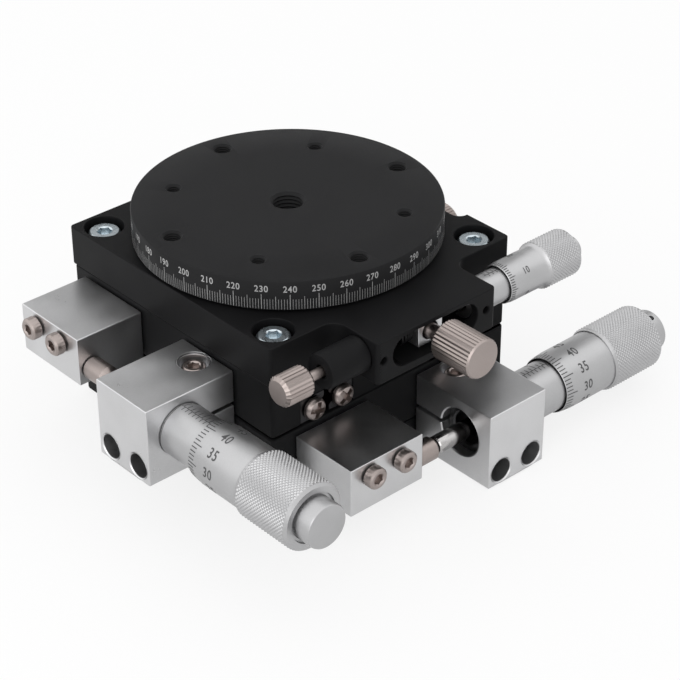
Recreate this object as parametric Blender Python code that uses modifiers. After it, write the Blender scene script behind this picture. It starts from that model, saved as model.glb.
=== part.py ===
"""Manual X-Y-rotation positioning stage of the 60 mm class.

Metres, +Z up. The origin is the centre of the base's underside. The X micrometer lies along +X
on the front face (-Y), the Y micrometer along -Y on the left face (-X). Both linear levels are the
same module, so each is built in a module frame whose X axis is the slide's axis.
"""
import math

import bmesh
import bpy
from mathutils import Matrix, Vector

MM = 0.001

# Clearances
GAP = 0.3 * MM             # between fitted pieces
SEAM = 0.5 * MM            # running gap between stacked plates

# Plates
TOP_WIDTH = 60.0 * MM      # rotary body
PLATE_WIDTH = TOP_WIDTH - 0.6 * MM
BASE_WIDTH = TOP_WIDTH - 1.2 * MM
BASE_THICKNESS = 6.0 * MM
LEVEL_PITCH = 11.5 * MM    # from one guide seat to the next
CORNER_ROUND = 1.0 * MM
EDGE_ROUND = 0.4 * MM
BASE_HOLE_RADIUS = 1.7 * MM
BASE_HOLE_INSET = 5.0 * MM
BASE_HOLE_PLACE = TOP_WIDTH / 2 - BASE_HOLE_INSET

# Guides
TONGUE_WIDTH = 19.4 * MM
TONGUE_HEIGHT = 5.4 * MM
RAIL_WIDTH = 5.7 * MM
RAIL_SPACE = 1.2 * MM      # between an inner rail and its outer rail
RAIL_SEAT_GAP = 0.4 * MM
RAIL_END_INSET = 0.4 * MM
GROOVE_DEPTH = 1.45 * MM
ROLLER_RADIUS = 1.1 * MM
ROLLER_LENGTH = 2.1 * MM
ROLLER_PITCH = 5.8 * MM
ROLLER_COUNT = 7
CAGE_THICKNESS = 0.5 * MM
CAGE_HEIGHT = 4.0 * MM
CAGE_END = 1.6 * MM

# Return springs
SPRING_SLOT_WIDTH = 6.4 * MM
SPRING_SLOT_DEPTH = 4.5 * MM
SPRING_SLOT_NEAR = 24.0 * MM
SPRING_SLOT_FAR = 28.2 * MM
SPRING_RADIUS = 1.65 * MM
SPRING_WIRE = 0.6 * MM
SPRING_TURNS = 8
BOSS_PLACE = 19.5 * MM
BOSS_LENGTH = 2.0 * MM
BOSS_WIDTH = 3.0 * MM

# Micrometer, places along the module's X axis
TRAVEL = 6.5 * MM
AXIS_OUT = 12.0 * MM       # axis in front of the block seat
AXIS_UP = 3.3 * MM         # axis above the guide seat
Y_BLOCKS_SHIFT = -1.4 * MM
BLOCK_SEAT = TOP_WIDTH / 2
BLOCK_TOP = 10.4 * MM      # above the guide seat
BRACKET_START = 5.9 * MM
BRACKET_LENGTH = 14.7 * MM
BRACKET_DEPTH = 20.0 * MM
BRACKET_DROP = LEVEL_PITCH - TONGUE_HEIGHT - GAP  # below the guide seat
STEM_RADIUS = 4.7 * MM
STEM_INSET = 1.5 * MM      # of its end from the bracket's left face
SLIT_WIDTH = 0.8 * MM
ANVIL_BLOCK_START = -24.5 * MM
ANVIL_BLOCK_LENGTH = 17.8 * MM
ANVIL_BLOCK_DEPTH = 15.0 * MM
PIN_RADIUS = 2.3 * MM
PIN_CHAMFER = 0.8 * MM
PIN_STUB_RADIUS = 1.5 * MM
PIN_LENGTH = 5.7 * MM
PIN_STUB_LENGTH = 4.5 * MM
SPINDLE_RADIUS = 1.8 * MM
SLEEVE_RADIUS = 5.25 * MM
SLEEVE_LENGTH = 22.4 * MM  # from the bracket's face
THIMBLE_START = 8.7 * MM   # from the bracket's face, all thimble places
THIMBLE_CONE_END = 11.6 * MM
THIMBLE_KNURL = 22.1 * MM
THIMBLE_END = 35.7 * MM
THIMBLE_CAP_END = 39.3 * MM
THIMBLE_NOSE_RADIUS = 5.75 * MM
THIMBLE_RADIUS = 6.08 * MM
KNURL_RADIUS = 6.7 * MM
CAP_RADIUS = 4.0 * MM
CHAMFER = 0.4 * MM

# Socket cap screws and pan-head screws
BRACKET_SCREW_PITCH = 8.1 * MM
BRACKET_SCREW_DROP = 3.2 * MM
BRACKET_SCREW_HEAD = 2.0 * MM
BRACKET_SCREW_SHANK = 0.9 * MM
BRACKET_SCREW_SINK = 3.4 * MM
BLOCK_SCREW_PITCH = 7.5 * MM
BLOCK_SCREW_SHIFT = -0.3 * MM
BLOCK_SCREW_UP = 7.6 * MM
BLOCK_SCREW_HEAD = 2.2 * MM
BLOCK_SCREW_SHANK = 1.2 * MM
BLOCK_SCREW_HEIGHT = 2.0 * MM
CLAMP_SCREW_HEAD = 2.6 * MM
CLAMP_SCREW_SHANK = 1.3 * MM
CLAMP_SCREW_OUT = 3.3 * MM
CLAMP_SCREW_SINK = 3.0 * MM
CORNER_SCREW_PLACE = TOP_WIDTH / 2 - 4.8 * MM
CORNER_SCREW_HEAD = 3.0 * MM
CORNER_SCREW_SHANK = 1.7 * MM
CORNER_SCREW_HEIGHT = 2.9 * MM
CORNER_POCKET_RADIUS = 4.4 * MM
CORNER_POCKET_DEPTH = 3.8 * MM
PAN_HEAD_RADIUS = 2.5 * MM
PAN_HEAD_HEIGHT = 1.7 * MM
PAN_SHANK_RADIUS = 0.9 * MM
SCREW_GRIP = 4.5 * MM      # length of thread in the part that a screw holds to

# Lock thumb screws
LOCK_UP = 5.8 * MM
LOCK_COLLAR_RADIUS = 3.0 * MM
LOCK_COLLAR_LENGTH = 2.9 * MM
LOCK_KNOB_RADIUS = 4.5 * MM
LOCK_KNOB_LENGTH = 9.8 * MM
LOCK_SHANK_RADIUS = 1.9 * MM

# Rotary level
BODY_BOTTOM = 29.3 * MM
BODY_TOP = 37.5 * MM
BRIDGE_WIDTH = 29.6 * MM
BRIDGE_FRONT = TOP_WIDTH / 2 + 11.5 * MM
BRIDGE_BOTTOM = 28.8 * MM
BRIDGE_FILLET = 3.0 * MM
CAVITY_RADIUS = TOP_WIDTH / 2 - 5.0 * MM
CAVITY_FLOOR = 30.6 * MM
FLOOR_HOLE_RADIUS = TOP_WIDTH / 5
BEARING_SEAT = 35.8 * MM
BEARING_OUTER = CAVITY_RADIUS + 2.2 * MM
BEARING_INNER = CAVITY_RADIUS - 7.7 * MM
DISC_BOTTOM = 38.0 * MM
DISC_THICKNESS = 6.2 * MM
DISC_RADIUS = TOP_WIDTH / 2
DISC_CHAMFER = 0.5 * MM
CENTRE_HOLE_RADIUS = 3.2 * MM
LARGE_HOLE_RADIUS = 1.8 * MM
LARGE_HOLE_CIRCLE = DISC_RADIUS - 4.9 * MM
LARGE_HOLE_ANGLE = 80.5
SMALL_HOLE_RADIUS = 1.4 * MM
SMALL_HOLE_CIRCLE = DISC_RADIUS - 7.3 * MM
SMALL_HOLE_ANGLE = 125.5

# Fine adjustment: arm, spring barrel and small micrometer on one axis along X
FINE_OUT = BRIDGE_FRONT - 5.0 * MM       # axis in front of the turntable's centre
FINE_UP = 33.5 * MM
FINE_TRAVEL = 3.2 * MM
SLOT_LEFT = 11.1 * MM
SLOT_RIGHT = 10.2 * MM
SLOT_HEIGHT = 6.2 * MM
ARM_WIDTH = 6.0 * MM
ARM_HEIGHT = 5.2 * MM
ARM_TIP = FINE_OUT + ARM_WIDTH / 2
RING_OUTER = CAVITY_RADIUS - 0.6 * MM
RING_HEIGHT = 4.4 * MM
TIP_GAP = 0.35 * MM
ARM_HOLE_RADIUS = 1.8 * MM
CLAMP_KNOB_FACE = BRIDGE_FRONT + 11.5 * MM
CLAMP_KNOB_LENGTH = 9.5 * MM
CLAMP_KNOB_RADIUS = 4.0 * MM
CLAMP_SHANK_RADIUS = 1.5 * MM
BARREL_RADIUS = 3.5 * MM
BARREL_LENGTH = 9.0 * MM
NOSE_RADIUS = 3.0 * MM
BARREL_BORE_RADIUS = 2.6 * MM
BARREL_WALL = 1.0 * MM
PLUNGER_SHANK_RADIUS = 1.0 * MM
PLUNGER_HEAD_RADIUS = 2.0 * MM
PLUNGER_HEAD_LENGTH = 1.4 * MM
PLUNGER_KNOB_RADIUS = 3.0 * MM
PLUNGER_KNOB_START = 27.7 * MM
PLUNGER_KNOB_LENGTH = 6.3 * MM
PRELOAD_SPRING_RADIUS = 1.9 * MM
PRELOAD_SPRING_WIRE = 0.5 * MM
PRELOAD_SPRING_TURNS = 12
FINE_SLEEVE_RADIUS = 3.35 * MM
FINE_SLEEVE_END = 32.0 * MM
FINE_SPINDLE_RADIUS = 1.3 * MM
FINE_THIMBLE_START = 20.3 * MM
FINE_THIMBLE_CONE_END = 21.8 * MM
FINE_THIMBLE_KNURL = 30.1 * MM
FINE_THIMBLE_END = 38.8 * MM
FINE_BUTTON_END = 41.0 * MM
FINE_NOSE_RADIUS = 3.9 * MM
FINE_THIMBLE_RADIUS = 4.1 * MM
FINE_KNURL_RADIUS = 4.8 * MM
FINE_BUTTON_RADIUS = 2.5 * MM

# Facets
DISC_STEPS = 48
RING_STEPS = 32
ROUND_STEPS = 18
SMALL_STEPS = 10
SCREW_STEPS = 8
COIL_STEPS = 6
SHARP_ANGLE = math.radians(35)

# Worked out from the sizes above
RAIL_HEIGHT = TONGUE_HEIGHT + GAP - 2 * RAIL_SEAT_GAP
RAIL_MIDDLE = RAIL_SEAT_GAP + RAIL_HEIGHT / 2
RAIL_LENGTH = BASE_WIDTH - RAIL_END_INSET
INNER_RAIL = TONGUE_WIDTH / 2 + GAP
CAGE_PLACE = INNER_RAIL + RAIL_WIDTH + RAIL_SPACE / 2
OUTER_RAIL = INNER_RAIL + RAIL_WIDTH + RAIL_SPACE
CHANNEL_HALF = OUTER_RAIL + RAIL_WIDTH + GAP
DISC_TOP = DISC_BOTTOM + DISC_THICKNESS
PLATE_TOP = LEVEL_PITCH
CHANNEL_TOP = TONGUE_HEIGHT + GAP
FACE = BRACKET_START + BRACKET_LENGTH
PIN_TIP = ANVIL_BLOCK_START + ANVIL_BLOCK_LENGTH + PIN_LENGTH
RING_BOTTOM = FINE_UP - ARM_HEIGHT / 2 + GAP / 2
HUB_RADIUS = BEARING_INNER - GAP

ALONG_X = Matrix.Rotation(math.radians(90), 4, "Y")
ALONG_MINUS_X = Matrix.Rotation(math.radians(-90), 4, "Y")
ALONG_MINUS_Y = Matrix.Rotation(math.radians(90), 4, "X")
ALONG_Y = Matrix.Rotation(math.radians(-90), 4, "X")
ALONG_Z = Matrix.Identity(4)

for old in list(bpy.data.objects):
    bpy.data.objects.remove(old, do_unlink=True)

PARTS = bpy.data.collections.new("xyr_positioning_stage")
CUTTERS = bpy.data.collections.new("cutters")
for collection in (PARTS, CUTTERS):
    bpy.context.scene.collection.children.link(collection)


def make_material(name, colour, roughness, metallic=1.0):
    material = bpy.data.materials.new(name)
    material.use_nodes = True
    shader = material.node_tree.nodes["Principled BSDF"]
    shader.inputs["Base Color"].default_value = (*colour, 1.0)
    shader.inputs["Roughness"].default_value = roughness
    shader.inputs["Metallic"].default_value = metallic
    return material


BLACK = make_material("black_anodised_aluminium", (0.012, 0.012, 0.013), 0.45, 0.0)
SILVER = make_material("clear_anodised_aluminium", (0.55, 0.55, 0.56), 0.35)
CHROME = make_material("satin_chrome", (0.6, 0.6, 0.6), 0.25)
NICKEL = make_material("nickel_plated_steel", (0.48, 0.43, 0.40), 0.3)
ZINC = make_material("zinc_plated_steel", (0.6, 0.64, 0.68), 0.25)
DARK_STEEL = make_material("black_oxide_steel", (0.02, 0.02, 0.02), 0.4)
GROUND_STEEL = make_material("ground_steel", (0.42, 0.42, 0.43), 0.3)


def place(obj, parent, location, turn=ALONG_Z):
    """Parent an object to an empty and set its place in the empty's frame."""
    obj.parent = parent
    obj.matrix_local = Matrix.Translation(location) @ turn
    return obj


def new_object(name, mesh, material, collection=PARTS):
    obj = bpy.data.objects.new(name, mesh)
    if material:
        mesh.materials.append(material)
    collection.objects.link(obj)
    if collection is CUTTERS:
        obj.hide_render = True
        obj.display_type = "WIRE"
    return obj


def block(name, low, high, material=None, parent=None, collection=PARTS, round_edges=0.0):
    """A box between two corners, with its origin at its centre."""
    low, high = Vector(low), Vector(high)
    mesh = bpy.data.meshes.new(name)
    shape = bmesh.new()
    bmesh.ops.create_cube(shape, size=1.0)
    bmesh.ops.scale(shape, vec=high - low, verts=shape.verts)
    shape.to_mesh(mesh)
    shape.free()
    obj = new_object(name, mesh, material, collection)
    if round_edges:
        bevel = obj.modifiers.new("round edges", "BEVEL")
        bevel.width = round_edges
        bevel.segments = 1
    return place(obj, parent, (low + high) / 2)


def rod(name, radius, start, length, turn=ALONG_Z, parent=None, sides=SMALL_STEPS):
    """A cutter: a cylinder that starts at a point and runs along the turned Z axis."""
    mesh = bpy.data.meshes.new(name)
    shape = bmesh.new()
    middle = Matrix.Translation((0, 0, length / 2))
    bmesh.ops.create_cone(shape, cap_ends=True, segments=sides, radius1=radius, radius2=radius,
                          depth=length, matrix=middle)
    shape.to_mesh(mesh)
    shape.free()
    return place(new_object(name, mesh, None, CUTTERS), parent, start, turn)


def combine(obj, other, operation="DIFFERENCE"):
    modifier = obj.modifiers.new(operation.lower(), "BOOLEAN")
    modifier.operation = operation
    modifier.object = other
    return obj


def turned(name, profile, material, parent, location, turn=ALONG_X, steps=ROUND_STEPS,
           collection=PARTS, closed=False):
    """A turned piece. The profile's (radius, height) points run down the outer side from the top,
    and a hollow piece's profile comes back up its bore."""
    mesh = bpy.data.meshes.new(name)
    shape = bmesh.new()
    points = [shape.verts.new((radius, 0.0, height)) for radius, height in profile]
    for first, second in zip(points, points[1:] + points[:1] if closed else points[1:]):
        shape.edges.new((first, second))
    shape.to_mesh(mesh)
    shape.free()
    obj = new_object(name, mesh, material, collection)
    screw = obj.modifiers.new("turn", "SCREW")
    screw.axis = "Z"
    screw.steps = steps
    screw.render_steps = steps
    screw.use_merge_vertices = True
    screw.merge_threshold = 0.00001
    screw.use_smooth_shade = True
    mesh.shade_smooth()
    mesh.set_sharp_from_angle(angle=SHARP_ANGLE)
    return place(obj, parent, location, turn)


def cap_screw(name, head, shank, head_height, shank_length, material, parent, location, turn):
    """A socket cap screw. Its origin is under the head, and the head points along the turned Z."""
    profile = [
        (0.0, head_height),
        (head - CHAMFER / 2, head_height),
        (head, head_height - CHAMFER / 2),
        (head, 0.0),
        (shank, 0.0),
        (shank, -shank_length),
        (0.0, -shank_length),
    ]
    screw = turned(name, profile, material, parent, location, turn, SCREW_STEPS)
    socket = rod(f"{name}_socket", head * 0.55, (0, 0, head_height / 2), head_height, sides=6)
    socket.parent = screw
    return combine(screw, socket)


def knob_profile(radius, length, stem, stem_length):
    """A thumb screw's knob above z = 0 and its stem below."""
    return [
        (0.0, length),
        (radius - CHAMFER, length),
        (radius, length - CHAMFER),
        (radius, CHAMFER),
        (radius - CHAMFER, 0.0),
        (stem, 0.0),
        (stem, -stem_length),
        (0.0, -stem_length),
    ]


def coil(name, radius, wire, turns, length, material, parent, location, turn=ALONG_X):
    """A helical spring that starts at its origin and runs along the turned Z axis."""
    curve = bpy.data.curves.new(name, "CURVE")
    curve.dimensions = "3D"
    curve.bevel_depth = wire / 2
    curve.bevel_resolution = 0
    curve.use_fill_caps = True
    line = curve.splines.new("POLY")
    count = turns * COIL_STEPS + 1
    line.points.add(count - 1)
    for number, point in enumerate(line.points):
        angle = 2 * math.pi * number / COIL_STEPS
        height = wire + (length - 2 * wire) * number / (count - 1)
        point.co = (radius * math.cos(angle), radius * math.sin(angle), height, 1.0)
    curve.materials.append(material)
    obj = bpy.data.objects.new(name, curve)
    PARTS.objects.link(obj)
    return place(obj, parent, location, turn)


def module_frame(name, height, turn_degrees):
    """An empty at a level's guide seat whose X axis is the slide's axis."""
    frame = bpy.data.objects.new(name, None)
    PARTS.objects.link(frame)
    frame.matrix_world = (Matrix.Translation((0, 0, height))
                          @ Matrix.Rotation(math.radians(turn_degrees), 4, "Z"))
    return frame


X_SEAT = module_frame("x_seat", BASE_THICKNESS, 0)
Y_SEAT = module_frame("y_seat", BASE_THICKNESS + LEVEL_PITCH, -90)
STAGE = module_frame("stage", 0.0, 0)
LEVELS = {
    "x": {"seat": X_SEAT, "shift": 0.0, "sides": ("front", "back")},
    "y": {"seat": Y_SEAT, "shift": Y_BLOCKS_SHIFT, "sides": ("left", "right")},
}


def add_tongue(plate, level):
    """Join the level's guide tongue, with its spring slot, to the plate under it."""
    seat = LEVELS[level]["seat"]
    sunk = 1.5 * MM
    half = TONGUE_WIDTH / 2
    tongue = block(f"{level}_tongue", (-RAIL_LENGTH / 2, -half, -sunk),
                   (RAIL_LENGTH / 2, half, TONGUE_HEIGHT), None, seat, CUTTERS)
    slot = block(f"{level}_spring_slot",
                 (-SPRING_SLOT_FAR, -SPRING_SLOT_WIDTH / 2, TONGUE_HEIGHT - SPRING_SLOT_DEPTH),
                 (SPRING_SLOT_NEAR, SPRING_SLOT_WIDTH / 2, TONGUE_HEIGHT + SEAM),
                 None, seat, CUTTERS)
    combine(plate, tongue, "UNION")
    combine(plate, slot)


def add_channel(plate, level):
    """Cut the guide channel of a sliding plate and leave the spring's boss in it."""
    seat = LEVELS[level]["seat"]
    reach = TOP_WIDTH
    channel = block(f"{level}_channel", (-reach, -CHANNEL_HALF, -SEAM), (reach, CHANNEL_HALF, CHANNEL_TOP),
                    None, seat, CUTTERS)
    low = TONGUE_HEIGHT - SPRING_SLOT_DEPTH + SEAM
    boss = block(f"{level}_boss", (-BOSS_PLACE - BOSS_LENGTH / 2, -BOSS_WIDTH / 2, low),
                 (-BOSS_PLACE + BOSS_LENGTH / 2, BOSS_WIDTH / 2, CHANNEL_TOP + SEAM), None, seat, CUTTERS)
    combine(plate, channel)
    combine(plate, boss, "UNION")


def screw_places(level, kind):
    """Middle of a pair of screws along the module's X axis, and their pitch."""
    shift = LEVELS[level]["shift"]
    if kind == "bracket":
        return BRACKET_START + BRACKET_LENGTH / 2 + shift, BRACKET_SCREW_PITCH
    return ANVIL_BLOCK_START + ANVIL_BLOCK_LENGTH / 2 + BLOCK_SCREW_SHIFT + shift, BLOCK_SCREW_PITCH


def tap_face(plate, level, kind, height, hole):
    """Tapped holes in a plate's face for a pair of block screws."""
    middle, pitch = screw_places(level, kind)
    for number, side in enumerate((-0.5, 0.5)):
        start = (middle + side * pitch, -BLOCK_SEAT + SCREW_GRIP + GAP, height)
        drill = rod(f"{level}_{kind}_tap_{number}", hole, start, BLOCK_SEAT, ALONG_MINUS_Y,
                    LEVELS[level]["seat"])
        combine(plate, drill)


def base_plate():
    half = BASE_WIDTH / 2
    plate = block("base_plate", (-half, -half, 0), (half, half, BASE_THICKNESS), BLACK, STAGE,
                  round_edges=CORNER_ROUND)
    add_tongue(plate, "x")
    tap_face(plate, "x", "bracket", -BRACKET_SCREW_DROP, BRACKET_SCREW_SHANK + GAP)
    for number in range(4):
        angle = math.radians(45 + 90 * number)
        reach = BASE_HOLE_PLACE * math.sqrt(2)
        start = (reach * math.cos(angle), reach * math.sin(angle), -SEAM)
        hole = rod(f"base_hole_{number}", BASE_HOLE_RADIUS, start, BASE_THICKNESS + 2 * SEAM, parent=STAGE)
        combine(plate, hole)


def sliding_plate(name, level):
    seat = LEVELS[level]["seat"]
    half = PLATE_WIDTH / 2
    plate = block(name, (-half, -half, SEAM), (half, half, PLATE_TOP), BLACK, seat,
                  round_edges=EDGE_ROUND)
    add_channel(plate, level)
    tap_face(plate, level, "block", BLOCK_SCREW_UP, BLOCK_SCREW_SHANK + GAP)
    lock_hole = rod(f"{level}_lock_hole", LOCK_SHANK_RADIUS + GAP, (0, CHANNEL_HALF - SEAM, LOCK_UP),
                    BLOCK_SEAT, ALONG_Y, seat)
    combine(plate, lock_hole)
    return plate


def middle_plate():
    plate = sliding_plate("middle_plate", "x")
    add_tongue(plate, "y")
    tap_face(plate, "y", "bracket", -BRACKET_SCREW_DROP, BRACKET_SCREW_SHANK + GAP)


def y_plate():
    plate = sliding_plate("y_plate", "y")
    depth = BODY_BOTTOM - BASE_THICKNESS - 2 * LEVEL_PITCH + SCREW_GRIP
    for number, (x, y) in enumerate(corner_places()):
        hole = rod(f"y_plate_tap_{number}", CORNER_SCREW_SHANK + GAP, (x, y, BODY_BOTTOM - depth - GAP),
                   depth + 2 * GAP, parent=STAGE)
        combine(plate, hole)


def extrude(shape, outline, by):
    """Make an outline of vertices a face and push it out to a closed prism."""
    face = shape.faces.new(outline)
    grown = bmesh.ops.extrude_face_region(shape, geom=[face])
    moved = [item for item in grown["geom"] if isinstance(item, bmesh.types.BMVert)]
    bmesh.ops.translate(shape, verts=moved, vec=by)
    bmesh.ops.recalc_face_normals(shape, faces=shape.faces)


def rail_mesh(name, groove_side):
    """A crossed-roller rail along X, centred, with its groove at +Y or -Y and tapped ends."""
    face, back = groove_side * RAIL_WIDTH / 2, -groove_side * RAIL_WIDTH / 2
    top = RAIL_HEIGHT / 2
    points = [
        (face, top),
        (face, GROOVE_DEPTH),
        (face - groove_side * GROOVE_DEPTH, 0.0),
        (face, -GROOVE_DEPTH),
        (face, -top),
        (back, -top),
        (back, top),
    ]
    mesh = bpy.data.meshes.new(name)
    shape = bmesh.new()
    ring = [shape.verts.new((-RAIL_LENGTH / 2, y, z)) for y, z in points]
    extrude(shape, ring, (RAIL_LENGTH, 0, 0))
    shape.to_mesh(mesh)
    shape.free()
    mesh.materials.append(GROUND_STEEL)
    return mesh


def rails(level):
    seat, sides = LEVELS[level]["seat"], LEVELS[level]["sides"]
    for side, sign in zip(sides, (-1, 1)):
        for kind, edge, groove_side in (("inner", INNER_RAIL, sign), ("outer", OUTER_RAIL, -sign)):
            name = f"{level}_{kind}_rail_{side}"
            rail = bpy.data.objects.new(name, rail_mesh(name, groove_side))
            PARTS.objects.link(rail)
            place(rail, seat, (0, sign * (edge + RAIL_WIDTH / 2), RAIL_MIDDLE))
            for end in (-1, 1):
                start = (end * (RAIL_LENGTH / 2 - SCREW_GRIP - GAP), 0, 0)
                turn = Matrix.Rotation(math.radians(90 * end), 4, "Y")
                hole = rod(f"{name}_hole_{end}", PAN_SHANK_RADIUS + GAP, start, 2 * SCREW_GRIP, turn)
                hole.parent = rail
                combine(rail, hole)


def roller_cages(level):
    seat, sides = LEVELS[level]["seat"], LEVELS[level]["sides"]
    length = ROLLER_PITCH * (ROLLER_COUNT - 1) + 2 * (ROLLER_RADIUS + CAGE_END)
    for side, sign in zip(sides, (-1, 1)):
        name = f"{level}_roller_cage_{side}"
        middle = sign * CAGE_PLACE
        cage = block(name, (-length / 2, middle - CAGE_THICKNESS / 2, RAIL_MIDDLE - CAGE_HEIGHT / 2),
                     (length / 2, middle + CAGE_THICKNESS / 2, RAIL_MIDDLE + CAGE_HEIGHT / 2),
                     GROUND_STEEL, seat)
        mesh = bpy.data.meshes.new(f"{name}_rollers")
        shape = bmesh.new()
        for number in range(ROLLER_COUNT):
            lean = math.radians(45 if number % 2 else -45)
            along = (number - (ROLLER_COUNT - 1) / 2) * ROLLER_PITCH
            where = Matrix.Translation((along, 0, 0)) @ Matrix.Rotation(lean, 4, "X")
            bmesh.ops.create_cone(shape, cap_ends=True, segments=SCREW_STEPS, radius1=ROLLER_RADIUS,
                                  radius2=ROLLER_RADIUS, depth=ROLLER_LENGTH, matrix=where)
        shape.to_mesh(mesh)
        shape.free()
        rollers = place(new_object(f"{name}_rollers", mesh, None, CUTTERS), seat, (0, middle, RAIL_MIDDLE))
        combine(cage, rollers, "UNION")


def return_spring(level):
    start = -BOSS_PLACE + BOSS_LENGTH / 2 + GAP
    length = SPRING_SLOT_NEAR - GAP - start
    height = TONGUE_HEIGHT - SPRING_SLOT_DEPTH / 2
    coil(f"{level}_return_spring", SPRING_RADIUS, SPRING_WIRE, SPRING_TURNS, length, GROUND_STEEL,
         LEVELS[level]["seat"], (start, 0, height))


def micrometer_bracket(level):
    seat, shift = LEVELS[level]["seat"], LEVELS[level]["shift"]
    start, end = BRACKET_START + shift, BRACKET_START + BRACKET_LENGTH + shift
    name = f"{level}_micrometer_bracket"
    bracket = block(name, (start, -BLOCK_SEAT - BRACKET_DEPTH, -BRACKET_DROP), (end, -BLOCK_SEAT, BLOCK_TOP),
                    SILVER, seat, round_edges=EDGE_ROUND)
    bore = rod(f"{name}_bore", STEM_RADIUS + GAP, (start - SEAM, -BLOCK_SEAT - AXIS_OUT, AXIS_UP),
               BRACKET_LENGTH + 2 * SEAM, ALONG_X, seat, ROUND_STEPS)
    combine(bracket, bore)
    slit_front = -BLOCK_SEAT - AXIS_OUT + STEM_RADIUS / 2
    slit = block(f"{name}_slit", (start - SEAM, slit_front, AXIS_UP - SLIT_WIDTH / 2),
                 (end + SEAM, -BLOCK_SEAT + SEAM, AXIS_UP + SLIT_WIDTH / 2), None, seat, CUTTERS)
    combine(bracket, slit)
    middle, pitch = screw_places(level, "bracket")
    for side, sign in (("left", -0.5), ("right", 0.5)):
        along = middle + sign * pitch
        front = -BLOCK_SEAT - BRACKET_DEPTH
        sink = rod(f"{name}_sink_{side}", BRACKET_SCREW_HEAD + GAP, (along, front + BRACKET_SCREW_SINK,
                   -BRACKET_SCREW_DROP), 2 * BRACKET_SCREW_SINK, ALONG_MINUS_Y, seat)
        hole = rod(f"{name}_hole_{side}", BRACKET_SCREW_SHANK + GAP, (along, -BLOCK_SEAT + SEAM,
                   -BRACKET_SCREW_DROP), BRACKET_DEPTH, ALONG_MINUS_Y, seat)
        combine(bracket, sink)
        combine(bracket, hole)
        under_head = (along, front + BRACKET_SCREW_SINK - GAP, -BRACKET_SCREW_DROP)
        shank = BRACKET_DEPTH - BRACKET_SCREW_SINK + SCREW_GRIP
        cap_screw(f"{level}_bracket_screw_{side}", BRACKET_SCREW_HEAD, BRACKET_SCREW_SHANK,
                  BRACKET_SCREW_SINK / 2, shank, DARK_STEEL, seat, under_head, ALONG_MINUS_Y)
    place_of_clamp = (middle, -BLOCK_SEAT - CLAMP_SCREW_OUT)
    sink = rod(f"{name}_clamp_sink", CLAMP_SCREW_HEAD + GAP, (*place_of_clamp, BLOCK_TOP - CLAMP_SCREW_SINK),
               2 * CLAMP_SCREW_SINK, parent=seat)
    hole = rod(f"{name}_clamp_hole", CLAMP_SCREW_SHANK + GAP, (*place_of_clamp, -GAP),
               BLOCK_TOP, parent=seat)
    combine(bracket, sink)
    combine(bracket, hole)
    cap_screw(f"{level}_clamp_screw", CLAMP_SCREW_HEAD, CLAMP_SCREW_SHANK, CLAMP_SCREW_SINK * 0.8,
              BLOCK_TOP - CLAMP_SCREW_SINK, GROUND_STEEL, seat,
              (*place_of_clamp, BLOCK_TOP - CLAMP_SCREW_SINK + GAP), ALONG_Z)


def micrometer_head(level):
    seat, shift = LEVELS[level]["seat"], LEVELS[level]["shift"]
    axis = (FACE + shift, -BLOCK_SEAT - AXIS_OUT, AXIS_UP)
    bore = SPINDLE_RADIUS + GAP
    sleeve = [
        (SLEEVE_RADIUS, SLEEVE_LENGTH),
        (SLEEVE_RADIUS, GAP),
        (STEM_RADIUS, GAP),
        (STEM_RADIUS, STEM_INSET - BRACKET_LENGTH),
        (bore, STEM_INSET - BRACKET_LENGTH),
        (bore, SLEEVE_LENGTH),
    ]
    turned(f"{level}_micrometer_sleeve", sleeve, CHROME, seat, axis, closed=True)
    tip = PIN_TIP - FACE + GAP
    spindle = [
        (0.0, THIMBLE_END - CHAMFER),
        (SPINDLE_RADIUS, THIMBLE_END - CHAMFER),
        (SPINDLE_RADIUS, tip + CHAMFER),
        (SPINDLE_RADIUS - CHAMFER, tip),
        (0.0, tip),
    ]
    turned(f"{level}_micrometer_spindle", spindle, CHROME, seat, axis, steps=SMALL_STEPS)
    cavity = SLEEVE_LENGTH + TRAVEL + GAP
    thimble = [
        (0.0, THIMBLE_CAP_END),
        (CAP_RADIUS - CHAMFER, THIMBLE_CAP_END),
        (CAP_RADIUS, THIMBLE_CAP_END - CHAMFER),
        (CAP_RADIUS, THIMBLE_END),
        (KNURL_RADIUS - CHAMFER, THIMBLE_END),
        (KNURL_RADIUS, THIMBLE_END - CHAMFER),
        (KNURL_RADIUS, THIMBLE_KNURL + CHAMFER),
        (KNURL_RADIUS - CHAMFER, THIMBLE_KNURL),
        (THIMBLE_RADIUS, THIMBLE_KNURL),
        (THIMBLE_RADIUS, THIMBLE_CONE_END),
        (THIMBLE_NOSE_RADIUS, THIMBLE_START),
        (SLEEVE_RADIUS + GAP, THIMBLE_START),
        (SLEEVE_RADIUS + GAP, cavity),
        (bore, cavity),
        (bore, THIMBLE_END - CHAMFER + GAP),
        (0.0, THIMBLE_END - CHAMFER + GAP),
    ]
    turned(f"{level}_micrometer_thimble", thimble, CHROME, seat, axis)


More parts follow.
